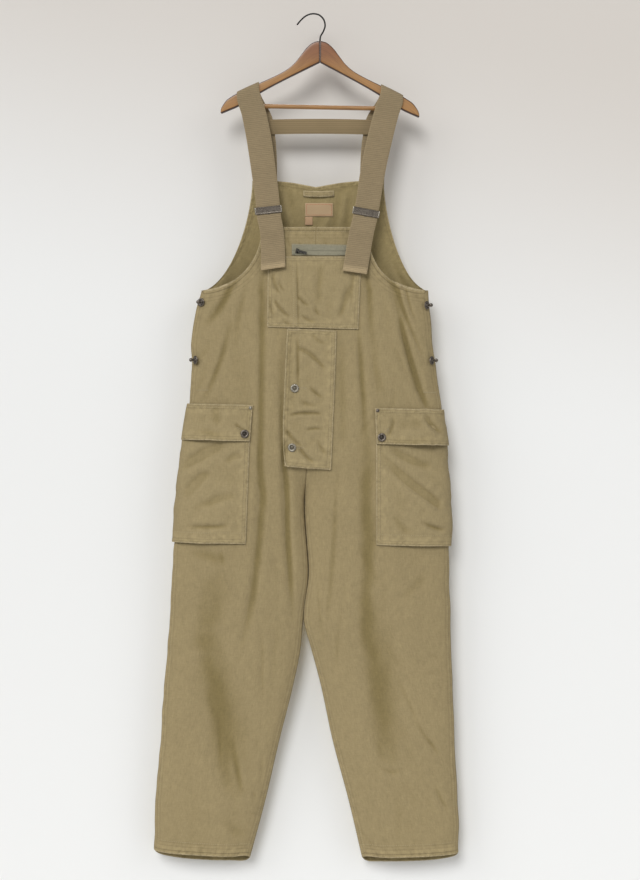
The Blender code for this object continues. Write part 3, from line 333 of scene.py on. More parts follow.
def half_face(face, side):
    """The middle of the cloth over half of a face, and its outward normals. Across the body x goes as a
    sine and the depth as a power of the cosine; across a leg x goes as half a turn and the depth as a
    power of the sine."""
    centre_z, edge_z, edge_x = (v[:, None] for v in outline_rows(face, side))
    below_top = centre_z[0] - centre_z
    phi = spread(COLUMNS_ACROSS)[None, :]
    z = hung_hem(face, side, phi, centre_z + (edge_z - centre_z) * phi ** 2)
    if face == "back":
        z = z + BACK_TOP_RISE * np.sin(math.pi * phi) * np.clip(1 - below_top / BACK_TOP_REACH, 0.0, 1.0)
    outer_name, inner_name = ("right_side", "right_inner") if side < 0 else ("left_side", "left_inner")
    out, inner = along(outer_name, z), along(inner_name, z)
    edge_inner = along(inner_name, edge_z)
    reach = np.clip((edge_x - edge_inner) / (along(outer_name, edge_z) - edge_inner), 0.0, 1.0)
    body = ease((z - CROTCH) / (RISE_TOP - CROTCH))
    start = math.asin(float(reach[0, 0]))
    turn = start + (math.pi / 2 - start) * ease(below_top / (centre_z[0] - CORNER_LEVEL))
    across = reach * np.sin(phi * turn) / np.sin(turn)
    leg_across = (1 - np.cos(math.pi * phi)) / 2
    x = inner + (out - inner) * (body * across + (1 - body) * leg_across)
    flat = (body * np.maximum(1 - across ** 2, 0.0) ** (ROUNDNESS / 2)
            + (1 - body) * np.abs(np.sin(math.pi * phi)) ** ROUNDNESS)
    sign = -1.0 if face == "front" else 1.0
    # the outseam wavers a little, and the hem is roped by its seam
    side_wave = 0.7 * waves(z * 0 + side * 50, z, 60.0, 21 + side) * ease((across - 0.8) / 0.2)
    roping = 0.5 * np.sin(x * 0.37 + 2.0 * waves(x, z * 0, 60.0, 5)) * ease((HEM + 30.0 - z) / 12.0)
    y = sign * flat * (along(face, z) - cloth_depth(face, x, z) + roping)
    place = np.stack((x + side_wave, y, z), axis=-1)
    normal = outward(place, -sign * side)
    seam = body[:, 0]
    normal[:, 0, 0] *= 1 - seam
    normal[:, 0, 1] *= seam
    normal[ARMHOLE_ROWS + 1:, -1, 1] = 0.0
    return place, normal / np.linalg.norm(normal, axis=-1, keepdims=True)


HALVES = {(face, side): half_face(face, side) for face in ("front", "back") for side in (-1, 1)}


def whole_face(face):
    """A face as one grid, from the wearer's right side to the left."""
    (right, right_out), (left, left_out) = HALVES[(face, -1)], HALVES[(face, 1)]
    place = np.concatenate((right[:, :0:-1], left), axis=1)
    place[:, right.shape[1] - 1] = (right[:, 0] + left[:, 0]) / 2
    return place, np.concatenate((right_out[:, :0:-1], left_out), axis=1)


def round_side(side):
    """One side as a grid from the front's centre round the outseam to the back's, below the armhole."""
    front, back = HALVES[("front", side)], HALVES[("back", side)]
    return tuple(np.concatenate((f[ARMHOLE_ROWS + 3:], b[ARMHOLE_ROWS + 3:, -2::-1]), axis=1)
                 for f, b in zip(front, back))


SHEETS = {"front": whole_face("front"), "back": whole_face("back"),
          "right": round_side(-1), "left": round_side(1)}
print("grids", {name: place.shape[:2] for name, (place, _) in SHEETS.items()})

# %% [markdown]
# ## From a grid to a sewn shell
# A cut piece of cloth is a thin closed shell: an outer and an inner surface that meet along the rim. Half
# the wall grows from nothing at the rim as a quarter circle does, so the edge looks turned over. Three
# things are kept for the material: a UV map in metres of cloth, which the weave follows, the distance to
# the nearest edge, where cloth puckers and wears pale and the puckers' light and shade is painted, and
# how deep each point lies in a hollow, where the colour is darkened as painted shade.

# %% Mesh helpers
PIECES = {}


def lengths(place):
    """Arc length along the rows and along the columns of a grid."""
    across = np.linalg.norm(np.diff(place, axis=1), axis=-1)
    down = np.linalg.norm(np.diff(place, axis=0), axis=-1)
    return (np.concatenate((np.zeros((len(place), 1)), np.cumsum(across, axis=1)), axis=1),
            np.concatenate((np.zeros((1, place.shape[1])), np.cumsum(down, axis=0)), axis=0))


def distances(points):
    """Arc length along a line of points."""
    return np.concatenate(([0.0], np.cumsum(np.linalg.norm(np.diff(points, axis=0), axis=1))))


def cloth_area(place):
    """Square metres of a grid: the size of the cross product of two sides of each cell, summed."""
    cell = np.cross(np.diff(place, axis=0)[:, :-1], np.diff(place, axis=1)[:-1])
    return float(np.linalg.norm(cell, axis=-1).sum()) * MM ** 2


def sampled(where, known, values):
    """Values in columns, known at some places along a line, at other places between them."""
    return np.column_stack([np.interp(where, known, column) for column in values.T])


def hollows(place, out, reach=6):
    """How many millimetres each point lies below the mean of the cloth round it, so many cells each
    way."""
    mean = place
    for axis in (0, 1):
        ends = [(reach, reach) if k == axis else (0, 0) for k in range(3)]
        total = np.cumsum(np.pad(mean, ends, mode="reflect", reflect_type="odd"), axis=axis)
        total = np.concatenate((np.zeros_like(total.take([0], axis)), total), axis=axis)
        count = place.shape[axis]
        mean = (total.take(np.arange(2 * reach + 1, 2 * reach + 1 + count), axis)
                - total.take(np.arange(count), axis)) / (2 * reach + 1)
    return np.einsum("ijk,ijk->ij", mean - place, out)


def add_mesh(name, points, faces, material, slot, uv=None, marks=None, replaces=()):
    """A mesh object from points in millimetres and arrays of faces, each array with one number of
    corners. Marks are values at the points for the material, by name. The object rides the body, takes a
    slot that is not used, and may stand for CAD nodes."""
    corners = np.concatenate([group.ravel() for group in faces])
    sizes = np.concatenate([np.full(len(group), group.shape[1]) for group in faces])
    mesh = bpy.data.meshes.new(name)
    mesh.vertices.add(len(points))
    mesh.vertices.foreach_set("co", (np.asarray(points) * MM).astype(np.float32).ravel())
    mesh.loops.add(len(corners))
    mesh.loops.foreach_set("vertex_index", corners.astype(np.int32))
    mesh.polygons.add(len(sizes))
    mesh.polygons.foreach_set("loop_start", (np.cumsum(sizes) - sizes).astype(np.int32))
    mesh.polygons.foreach_set("use_smooth", np.ones(len(sizes), bool))
    if uv is not None:
        layer = mesh.uv_layers.new(name="cloth")
        layer.data.foreach_set("uv", (uv[corners] * MM).astype(np.float32).ravel())
    for mark, values in (marks or {}).items():
        attribute = mesh.attributes.new(mark, "FLOAT", "POINT")
        attribute.data.foreach_set("value", values.astype(np.float32))
    mesh.update(calc_edges=True)
    mesh.validate()
    mesh.materials.append(material)
    obj = bpy.data.objects.new(name, mesh)
    bpy.context.scene.collection.objects.link(obj)
    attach(obj, BODY)
    if replaces:
        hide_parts(*replaces)


def cells(index):
    """The quads of a grid of point numbers."""
    return np.stack((index[:-1, :-1], index[1:, :-1], index[1:, 1:], index[:-1, 1:]), axis=-1).reshape(-1, 4)


def from_line(place, line):
    """How far each point of a grid is from a line, taken at places a quarter of its steps apart. The
    square of the distance is |p|^2 + |q|^2 - 2 p.q."""
    fine = sampled(np.arange(0, len(line) - 0.99, 0.25), np.arange(len(line)), line)
    flat = place.reshape(-1, 3)
    square = (flat ** 2).sum(1)[:, None] + (fine ** 2).sum(1)[None] - 2 * flat @ fine.T
    return np.sqrt(np.maximum(square.min(1), 0.0)).reshape(place.shape[:2])


def both_sides(outer, inner):
    """Values for the outer points of a shell and then for the inner ones, which have no rim of their
    own."""
    return np.concatenate((outer.reshape(outer.shape[0] * outer.shape[1], -1),
                           inner[1:-1, 1:-1].reshape((outer.shape[0] - 2) * (outer.shape[1] - 2), -1)))


def shell(name, place, out, material, slot, wall=CLOTH, clear=None, turn=0.9, folded=None, fork=None,
          face=None):
    """A thin closed shell on a grid, in place of the CAD node of the same name. Half the wall at a
    distance d from the rim is wall/2 * sqrt(1 - (1 - d/turn)^2). Folded marks where webbing lies double,
    from 0 to 1. Above the height fork the near edge is a plain join, so it is not marked as an edge. A
    face names the main creases whose depth adds to the hollow mark, because the widest are broader than
    the patch that hollows looks at."""
    across, down = lengths(place)
    others = (across[:, -1:] - across, down, down[-1:] - down)
    nearest = np.minimum.reduce((across, *others))
    half = wall / 2 * np.sqrt(1 - (1 - np.clip(nearest / turn, 0, 1)) ** 2)
    outer, inner = place + out * half[..., None], place - out * half[..., None]
    if clear:
        outer, inner = clear(outer), clear(inner)
    rows, columns = place.shape[:2]
    index = np.arange(rows * columns).reshape(rows, columns)
    under = index.copy()
    under[1:-1, 1:-1] = rows * columns + np.arange((rows - 2) * (columns - 2)).reshape(rows - 2, columns - 2)
    quads, back = cells(index), cells(under)[:, ::-1]
    i, j = rows // 2, columns // 2
    if np.dot(np.cross(place[i + 1, j] - place[i, j], place[i, j + 1] - place[i, j]), out[i, j]) < 0:
        quads, back = quads[:, ::-1], back[:, ::-1]
    uv = np.stack((across, place[..., 2]), axis=-1)
    # how deep each point lies in a hollow: the twill darkens its colour there as painted shade
    low = np.clip(hollows(place, out) + 0.35 * hollows(place, out, 16), -5.0, 9.0)
    sewn = nearest
    if fork is not None:
        sewn = np.minimum.reduce((across + 60.0 * ease((place[..., 2] - fork) / 20.0), *others))
        sewn = np.minimum(sewn, from_line(place, place[:ARMHOLE_ROWS + 1, -1]))
    if face:
        low = low + 0.4 * sunk(CREASES[face], place[..., 0], place[..., 2])
    marks = {"edge": both_sides(sewn, sewn)[:, 0], "hollow": both_sides(low, -low)[:, 0]}
    if folded is not None:
        marks["folded"] = both_sides(folded, folded)[:, 0]
    add_mesh(f"{name}_cloth", both_sides(outer, inner), [np.concatenate((quads, back))], material, slot,
             both_sides(uv, uv), marks, (name,))
    PIECES[name] = (outer, out)
    print(f"{name}: {rows} x {columns} points, {cloth_area(place):.3f} m2 of cloth")


def at(grid, row, column):
    """The value of a grid at a fractional row and column: the blend of the four points round it."""
    i = np.clip(row.astype(int), 0, grid.shape[0] - 2)
    j = np.clip(column.astype(int), 0, grid.shape[1] - 2)
    u, v = (row - i)[..., None], (column - j)[..., None]
    return (grid[i, j] * (1 - u) * (1 - v) + grid[i + 1, j] * u * (1 - v) + grid[i, j + 1] * (1 - u) * v
            + grid[i + 1, j + 1] * u * v)


def find(sheet, x, z, first=0, last=None):
    """The fractional row and column where a sheet, seen from the front, has x and z. Newton's steps: the
    gap left is divided by the slopes of the grid there, and the answer stays between two columns."""
    place = sheet[0]
    last = place.shape[1] - 1 if last is None else last
    x, z = np.broadcast_arrays(np.asarray(x, float), np.asarray(z, float))
    slopes = np.concatenate((np.gradient(place, axis=0), np.gradient(place, axis=1)), axis=-1)
    near = np.abs(place[:, (first + last) // 2, 2][:, None] - z.ravel()[None, :]).argmin(0)
    row, column = near.reshape(z.shape).astype(float), np.full(x.shape, (first + last) / 2.0)
    for _ in range(40):
        here, slope = at(place, row, column), at(slopes, row, column)
        dx, dz = x - here[..., 0], z - here[..., 2]
        a, b, c, d = slope[..., 0], slope[..., 3], slope[..., 2], slope[..., 5]
        whole = a * d - b * c
        whole = np.where(np.abs(whole) < 1e-6, 1e-6, whole)
        row = np.clip(row + np.clip((dx * d - dz * b) / whole, -6, 6), 0, place.shape[0] - 1)
        column = np.clip(column + np.clip((dz * a - dx * c) / whole, -6, 6), first, last)
    return row, column


print("helpers ready")

# %% [markdown]
# ## Finishes
# Washed cotton twill is matt, a little uneven in colour, with a fine slanting rib. The rib and the
# thread-thick streaks follow the UV map in metres, so they run with each cloth; the slow unevenness
# follows the object. Near the edges the cloth puckers and is rubbed paler, and the puckers' light and
# shade is painted into the colour; in the hollows the colour is darkened as painted shade. Each finish
# is a small chain of nodes into one shader.

# %% Node helpers and the twill
def new_finish(name, settings):
    """A new material, its tree and its shader, with the settings that are plain numbers."""
    material = bpy.data.materials.new(name)
    material.use_nodes = True
    tree = material.node_tree
    shader = tree.nodes["Principled BSDF"]
    for key, value in settings.items():
        shader.inputs[key].default_value = value
    return material, tree, shader


def node(tree, kind, sockets, **settings):
    """Add a node. Each socket gets a value, or a link if it is given another node's output."""
    made = tree.nodes.new(kind)
    for key, value in settings.items():
        setattr(made, key, value)
    for key, value in sockets.items():
        if isinstance(value, bpy.types.NodeSocket):
            tree.links.new(value, made.inputs[key])
        else:
            made.inputs[key].default_value = value
    return made


def cloth_place(tree):
    """The UV map in metres of cloth."""
    return node(tree, "ShaderNodeUVMap", {}, uv_map="cloth").outputs[0]


def object_place(tree):
    """The place in the object's own metres."""
    return node(tree, "ShaderNodeTexCoord", {}).outputs["Object"]


def mark(tree, name):
    """A number kept at the points of the mesh."""
    return node(tree, "ShaderNodeAttribute", {}, attribute_name=name).outputs["Fac"]


def sums(tree, operation, first, second, third=0.0, clamp=False):
    """The output of a Math node."""
    return node(tree, "ShaderNodeMath", {0: first, 1: second, 2: third}, operation=operation,
                use_clamp=clamp).outputs[0]


def noise(tree, place, scale, detail=2.0, rough=0.5, distortion=0.0):
    """A noise texture's value at place."""
    return node(tree, "ShaderNodeTexNoise", {"Vector": place, "Scale": scale, "Detail": detail,
                                             "Roughness": rough, "Distortion": distortion}).outputs["Fac"]


def stretched(tree, place, scale):
    """A place scaled by different amounts along its axes."""
    return node(tree, "ShaderNodeMapping", {"Vector": place, "Scale": scale}).outputs[0]


def grained(tree, place, scale, detail=2.0, rough=0.5, distortion=0.0):
    """Noise with a scale of its own along each axis."""
    return noise(tree, stretched(tree, place, scale), 1.0, detail, rough, distortion)


def ribbed(tree, uv, ways, pitch, unevenness, detail_scale):
    """Slanting ribs a pitch apart. The wave texture's scale for a pitch in metres is 2 pi/10 over the
    pitch."""
    sockets = {"Vector": stretched(tree, uv, (*ways, 1.0)), "Scale": 0.628 / pitch,
               "Distortion": unevenness, "Detail": 1.0, "Detail Scale": detail_scale}
    return node(tree, "ShaderNodeTexWave", sockets, wave_type="BANDS",
                bands_direction="DIAGONAL").outputs["Fac"]


def between(tree, value, low, high, to_low=0.0, to_high=1.0):
    """The output of a smooth Map Range node."""
    return node(tree, "ShaderNodeMapRange", {0: value, 1: low, 2: high, 3: to_low, 4: to_high},
                interpolation_type="SMOOTHSTEP").outputs[0]


def mixed(tree, factor, first, second, kind="MIX"):
    """The colour output of a Mix node. A colour is another node's output or three numbers."""
    pair = [(*colour, 1.0) if isinstance(colour, tuple) else colour for colour in (first, second)]
    return node(tree, "ShaderNodeMix", {0: factor, 6: pair[0], 7: pair[1]}, data_type="RGBA", blend_type=kind,
                clamp_factor=True).outputs[2]


def darkened(tree, colour, light):
    """A colour multiplied by a number."""
    grey = node(tree, "ShaderNodeCombineColor", {0: light, 1: light, 2: light}).outputs[0]
    return mixed(tree, 1.0, colour, grey, "MULTIPLY")


def shade(tree, shader, colour, factor, amount):
    """Multiply a colour by 1 plus or minus amount, by a factor from 0 to 1, and give it to the shader."""
    light = between(tree, factor, 0.0, 1.0, 1 - amount, 1 + amount)
    tree.links.new(darkened(tree, colour, light), shader.inputs["Base Color"])


def uneven(tree, parts, start=1.0):
    """The start plus the sum over parts of (factor - 1/2) times weight."""
    light = start - 0.5 * sum(weight for _, weight in parts)
    for factor, weight in parts:
        light = sums(tree, "MULTIPLY_ADD", factor, weight, light)
    return light


def seam_lines(tree, edge, seams):
    """1, and less by a seam's strength where the edge is its distance away, fading over its
    half-width."""
    light = 1.0
    for distance, width, strength in seams:
        off = sums(tree, "ABSOLUTE", sums(tree, "SUBTRACT", edge, distance), 0.0)
        light = sums(tree, "MULTIPLY_ADD", between(tree, off, width, 0.2 * width), -strength, light)
    return light


def bumped(tree, shader, height, strength, distance, broad=None):
    """Give the shader a bump, on top of a broad one where there is one, which is a height and a
    distance."""
    sockets = {"Strength": strength, "Distance": distance, "Height": height}
    if broad:
        below = {"Strength": 1.0, "Distance": broad[1], "Height": broad[0]}
        sockets["Normal"] = node(tree, "ShaderNodeBump", below).outputs[0]
    tree.links.new(node(tree, "ShaderNodeBump", sockets).outputs[0], shader.inputs["Normal"])


# the pitch of the rib and both reliefs are in metres; the hollows' painted shade multiplies, the other
# colours are mixed in
TWILL_RIB = 0.0009
WORN = (0.47, 0.39, 0.25)
WEAR = 0.62
HOLLOW_PAINTED_SHADE = (0.70, 0.685, 0.56)
PALER = 1.42
WEAVE_RELIEF = 0.0005
PUCKER_RELIEF = 0.008


def twill(name, colour, seams):
    """Cotton twill: a slanting rib, uneven yarn, mottled dye, hollows darkened with painted shade, roped
    puckers along the edges whose light and shade is painted, seams and pale edges."""
    material, tree, shader = new_finish(name, {"Roughness": 0.9, "Specular IOR Level": 0.12,
                                               "Sheen Weight": 0.05, "Sheen Roughness": 0.5})
    uv, place, edge, hollow = cloth_place(tree), object_place(tree), mark(tree, "edge"), mark(tree, "hollow")
    slant = ribbed(tree, uv, (1.0, 0.55), TWILL_RIB, 0.6, 2.0)
    yarn = grained(tree, uv, (420.0, 60.0, 1.0), 2.0, 0.6)
    weft = grained(tree, uv, (70.0, 420.0, 1.0), 2.0, 0.6)
    mottle = grained(tree, place, (110.0, 110.0, 75.0), 3.0, 0.7)
    clouds = grained(tree, place, (14.0, 14.0, 8.0), 3.0, 0.6)
    fleck = noise(tree, place, 260.0, 2.0, 0.7)
    rubbed = sums(tree, "MULTIPLY", between(tree, edge, 3.4, 0.8), between(tree, fleck, 0.2, 0.65))
    base = mixed(tree, sums(tree, "MULTIPLY", rubbed, WEAR), colour, WORN)
    # painted shade: the colour is darkened and made more saturated in creases and hollows, as shade there
    # would be
    base = mixed(tree, between(tree, hollow, -1.6, 6.5), base, HOLLOW_PAINTED_SHADE, "MULTIPLY")
    light = uneven(tree, ((yarn, 0.3), (weft, 0.2), (slant, 0.05), (mottle, 0.3), (clouds, 0.12),
                          (fleck, 0.2)), 1.05)
    # painted light and shade: the roped puckers near the edges are drawn as paler and darker specks in the
    # colour, paler on average
    roping = grained(tree, uv, (85.0, 85.0, 1.0), 1.0, 0.4)
    roped = sums(tree, "MULTIPLY", between(tree, edge, 25.0, 14.0), sums(tree, "SUBTRACT", roping, 0.36))
    light = sums(tree, "MULTIPLY_ADD", roped, 0.5, light)
    light = sums(tree, "MULTIPLY", light, seam_lines(tree, edge, seams))
    tree.links.new(darkened(tree, base, light), shader.inputs["Base Color"])
    pucker = grained(tree, uv, (130.0, 130.0, 1.0), 1.0, 0.4)
    pucker = sums(tree, "MULTIPLY", pucker, between(tree, edge, 18.0, 3.0))
    soft = grained(tree, place, (48.0, 48.0, 34.0), 3.0, 0.6)
    height = sums(tree, "MULTIPLY_ADD", pucker, 0.4, sums(tree, "MULTIPLY", soft, 0.22))
    weave = sums(tree, "MULTIPLY_ADD", slant, 0.6, yarn)
    bumped(tree, shader, weave, 0.5, WEAVE_RELIEF, (height, PUCKER_RELIEF))
    return material


def webbing(name, colour, rib, ways):
    """Woven webbing: coarse ribs along one or both of the ways (across, along) of its UV map, paler at
    its edges and where it is folded."""
    material, tree, shader = new_finish(name, {"Roughness": 0.9, "Specular IOR Level": 0.12,
                                               "Sheen Weight": 0.06})
    uv, place = cloth_place(tree), object_place(tree)
    ribs = ribbed(tree, uv, ways, rib, 0.5, 3.0)
    yarn = grained(tree, uv, (300.0, 300.0, 1.0), 2.0, 0.6)
    rows = grained(tree, uv, (14.0 + 300.0 * ways[0], 420.0 * ways[1], 1.0), 2.0, 0.6)
    clouds = noise(tree, place, 14.0, 3.0, 0.6)
    rim = between(tree, mark(tree, "edge"), 2.2, 0.6)
    pale = sums(tree, "MULTIPLY_ADD", rim, 0.35, mark(tree, "folded"), clamp=True)
    base = mixed(tree, pale, colour, tuple(PALER * c for c in colour))
    light = uneven(tree, ((ribs, 0.16), (yarn, 0.3), (rows, 0.4), (clouds, 0.2)))
    tree.links.new(darkened(tree, base, light), shader.inputs["Base Color"])
    bumped(tree, shader, sums(tree, "MULTIPLY_ADD", yarn, 0.4, ribs), 0.5, WEAVE_RELIEF)
    return material


# seam lines: distance from the edge, half-width, how much darker
PANEL_SEAMS = ((7.0, 1.9, 0.28), (16.0, 1.7, 0.14), (22.5, 1.6, 0.10))
PATCH_SEAMS = ((3.6, 1.1, 0.16), (9.0, 1.5, 0.14))
TWILL = twill("washed_twill", (0.306, 0.241, 0.127), PANEL_SEAMS)
TWILL_WARM = twill("washed_twill_pockets", (0.314, 0.249, 0.133), PATCH_SEAMS)
TWILL_BACK = twill("washed_twill_back", (0.312, 0.246, 0.120), PATCH_SEAMS)
STRAP_WEB = webbing("strap_webbing", (0.262, 0.202, 0.119), 0.0044, (0.15, 1.0))
CROSS_WEB = webbing("cross_webbing", (0.250, 0.187, 0.103), 0.0036, (0.06, 1.0))
TAPE = webbing("zip_tape_weave", (0.262, 0.245, 0.176), 0.0016, (0.3, 1.0))
print("cloth finishes ready")

# %% [markdown]
# ## Thread, label, wood and metal
# The thread is the cloth's own colour, a little paler. The label and the size tab are bare peach cotton
# with a thin dashed frame. The hanger is old varnished beech, dark at the joint, with painted shade along
# its long edges. The buckles and buttons are antique metal, dark in the hollows and bright where they are
# rubbed; the buckles' posts are a paler, polished metal that also paints the highlights at their ends.

# %% Other finishes
def plain_thread(name, colour):
    """Sewing thread: matt, with a fine twist."""
    material, tree, shader = new_finish(name, {"Roughness": 0.75})
    shade(tree, shader, colour, noise(tree, object_place(tree), 900.0, 1.0), 0.2)
    return material


def label_cotton(name, colour, frame_colour, inset=3.0):
    """Printed cotton with a dashed frame a little way in from its edge, and nothing else on it."""
    material, tree, shader = new_finish(name, {"Roughness": 0.8})
    uv, edge = cloth_place(tree), mark(tree, "edge")
    dashes = node(tree, "ShaderNodeTexWave", {"Vector": uv, "Scale": 230.0}, bands_direction="DIAGONAL")
    ring = sums(tree, "MULTIPLY", between(tree, edge, inset - 0.6, inset - 0.2),
                between(tree, edge, inset + 0.6, inset + 0.2))
    ring = sums(tree, "MULTIPLY", ring, between(tree, dashes.outputs["Fac"], 0.35, 0.5))
    yarn = grained(tree, uv, (1500.0, 1500.0, 1.0))
    shade(tree, shader, mixed(tree, ring, colour, frame_colour), yarn, 0.08)
    return material


def old_wood(name, colour, red, dark):
    """Varnished wood: grain along the arm, from the UV map, redder at the top, a dark joint, and painted
    shade along the long edges.
    """
    material, tree, shader = new_finish(name, {"Roughness": 0.38, "Coat Weight": 0.15,
                                               "Coat Roughness": 0.25})
    uv = cloth_place(tree)
    grain = grained(tree, uv, (22.0, 420.0, 1.0), 4.0, 0.65, 0.6)
    pores = grained(tree, uv, (160.0, 2200.0, 1.0), 2.0, 0.6)
    clouds = grained(tree, uv, (18.0, 50.0, 1.0))
    height = node(tree, "ShaderNodeSeparateXYZ", {"Vector": object_place(tree)}).outputs["Z"]
    stain = mixed(tree, between(tree, height, -0.122, -0.070), colour, red)
    # painted shade: the arm turns near black along its long edges, where a rounded edge turns from the light;
    # the dark joint is the wood's own
    edge_painted_shade_and_joint = sums(tree, "MULTIPLY_ADD", clouds, 0.25, between(tree, mark(tree, "edge"), 3.4, 1.2), clamp=True)
    both = sums(tree, "MULTIPLY_ADD", grain, 0.7, sums(tree, "MULTIPLY", pores, 0.3))
    shade(tree, shader, mixed(tree, between(tree, edge_painted_shade_and_joint, 0.1, 1.1), stain, dark), both, 0.5)
    bumped(tree, shader, both, 0.25, 0.0003)
    return material


def antique_metal(name, bright, dull, rough=0.38, scale=600.0):
    """Plated metal: dull patina broken by brighter rubbed specks, and dull all over where it is marked
    hollow."""
    material, tree, shader = new_finish(name, {"Metallic": 0.9})
    patina = noise(tree, object_place(tree), scale, 3.0, 0.6)
    worn = sums(tree, "MULTIPLY_ADD", mark(tree, "hollow"), -1.0, between(tree, patina, 0.35, 0.62),
                clamp=True)
    tree.links.new(mixed(tree, worn, dull, bright), shader.inputs["Base Color"])
    tree.links.new(between(tree, patina, 0.3, 0.7, rough + 0.15, rough - 0.08), shader.inputs["Roughness"])
    bumped(tree, shader, patina, 0.2, 0.0002)
    return material


THREAD = plain_thread("twill_thread", (0.395, 0.322, 0.190))
WEB_THREAD = plain_thread("webbing_thread", (0.300, 0.238, 0.150))
COIL = plain_thread("zip_coil", (0.215, 0.198, 0.142))
LABEL = label_cotton("label_cotton", (0.435, 0.305, 0.175), (0.420, 0.080, 0.030))
TAB = label_cotton("size_tab_cotton", (0.470, 0.300, 0.170), (0.470, 0.300, 0.170))
WOOD = old_wood("varnished_beech", (0.350, 0.178, 0.058), (0.225, 0.088, 0.032), (0.045, 0.014, 0.005))
NICKEL = antique_metal("antique_nickel", (0.430, 0.400, 0.335), (0.150, 0.132, 0.100), 0.5, 500.0)
STEEL = antique_metal("antique_buckle_metal", (0.200, 0.175, 0.145), (0.070, 0.058, 0.046), 0.42, 900.0)
DARK = antique_metal("dark_plated_metal", (0.250, 0.215, 0.180), (0.055, 0.046, 0.038), 0.45)
ZIP_METAL = antique_metal("black_zip_metal", (0.110, 0.104, 0.090), (0.010, 0.009, 0.008), 0.4, 500.0)
# a paler, polished metal for the buckles' posts and end arms, which also paints the highlights at the
# buckles' ends
POLISHED_AND_HIGHLIGHT_METAL = antique_metal("polished_and_highlight_buckle_metal", (0.520, 0.480, 0.400), (0.150, 0.130, 0.100), 0.36)
BLACK = antique_metal("blackened_metal", (0.050, 0.048, 0.045), (0.014, 0.013, 0.012))
print("finishes", len(bpy.data.materials))

# %% [markdown]
# ## Fronts, back bib and back legs
# Each front is one piece from the bib's top edge to the hem. The back is cut at the waist, where the side
# vents end, into the bib and two legs. Every panel is held a hair off the seams it shares with its
# neighbours, so no two shells touch.

# %% The five panels
def off_seams(face, side):
    """Keeps points of a panel off the middle plane of its seams."""
    sign = -1.0 if face == "front" else 1.0

    def clear(points):
        points = points.copy()
        z = points[..., 2]
        centre = (along("right_inner", z) + along("left_inner", z)) / 2
        if side:
            points[..., 0] = centre + side * np.maximum(side * (points[..., 0] - centre), SEAM_GAP / 2)
        gap = np.where(z > VENT_END, VENT_GAP, SEAM_GAP) / 2
        points[..., 1] = sign * np.maximum(sign * points[..., 1], gap)
        return points

    return clear


WAIST = int(np.abs(HALVES[("back", 1)][0][:, 0, 2] - VENT_END).argmin())
for side, name in SIDES:
    shell(f"front_{name}", *HALVES[("front", side)], TWILL, "twill", clear=off_seams("front", side),
          fork=CROTCH, face="front")
    leg, leg_out = (grid[WAIST:].copy() for grid in HALVES[("back", side)])
    leg[0, :, 2] -= SEAM_GAP
    leg_out[0, :, 2] = 0.0
    shell(f"back_{name}", leg, leg_out, TWILL_BACK, "twill", clear=off_seams("back", side))
bib, bib_out = (grid[:WAIST + 1].copy() for grid in SHEETS["back"])
bib_out[-1, :, 2] = 0.0
shell("back_bib", bib, bib_out, TWILL_BACK, "twill", clear=off_seams("back", 0))

# %% [markdown]
# ## Pockets and flaps
# A patch pocket is a second layer on the panel, so it is made from the panel's own points, moved out. Its
# four corners are found on the panel first; the grid between them is then lifted, with a little fullness
# in the middle and its own creases, which never sink as far as the cloth below.

# %% Laid pieces on the front
# the thickness and the gap that the CAD gives a layer, a cell, and the furthest that a piece sinks
LAYER = 1.5
LAY_GAP = 0.5
CELL = 2.6
SINK = -0.7
# a second layer creases deeper than its row says
CREASE_DEPTH = 2.5


def lift_over(layers):
    """How far the middle of a piece lies off the middle of the panel, over the layers below it."""
    return (1 + layers) * (LAYER + LAY_GAP)


def patch(corners):
    """x and z of a grid between four corners: top near, top far, bottom near, bottom far."""
    near_top, far_top, near_low, far_low = (np.array(corner) for corner in corners)
    u = spread(max(4, round(np.linalg.norm(far_top - near_top) / CELL)))[None, :, None]
    v = spread(max(4, round(np.linalg.norm(near_low - near_top) / CELL)))[:, None, None]
    grid = (near_top * (1 - u) + far_top * u) * (1 - v) + (near_low * (1 - u) + far_low * u) * v
    return grid[..., 0], grid[..., 1]


def laid(name, sheet, row, column, lift, material, slot, wall=CLOTH, full=0.0, free=None):
    """A piece on a sheet at fractional rows and columns: its points moved out by lift, plus full at the
    middle, plus free, less its creases, and never sunk further than SINK. A lift below 0 is on the
    inside."""
    place, out = at(sheet[0], row, column), at(sheet[1], row, column)
    out /= np.linalg.norm(out, axis=-1, keepdims=True)
    x, z = place[..., 0], place[..., 2]
    u = np.linspace(0, 1, place.shape[1])[None, :]
    v = np.linspace(0, 1, place.shape[0])[:, None]
    dome = np.sin(math.pi * u) * np.sin(math.pi * v)
    more = full * dome ** 0.6 + 0.3 * waves(x, z, 26.0, len(name)) * dome ** 0.3
    if free is not None:
        more = more + free(u, v)
    if name in CREASES:
        more = more - CREASE_DEPTH * sunk(CREASES[name], x, z)
    place = place + out * (abs(lift) + np.maximum(more, SINK))[..., None] * np.sign(lift)
    normal = outward(place, 1.0)
    i, j = place.shape[0] // 2, place.shape[1] // 2
    shell(name, place, normal * np.sign(normal[i, j] @ out[i, j] * lift), material, slot, wall)


def laid_patch(name, face, corners, lift, material, slot, **more):
    """A laid piece between four corners on the front or the back."""
    laid(name, SHEETS[face], *find(SHEETS[face], *patch(corners)), lift, material, slot, **more)


def flap_free(u, v):
    """The fly flap stands off along its free near edge and its foot."""
    near = 6.0 * np.exp(-(u / 0.1) ** 2) * ease(v * 6)
    return near + 7.0 * ease((v - 0.86) / 0.14) * (0.6 + 0.4 * np.cos(3 * u))


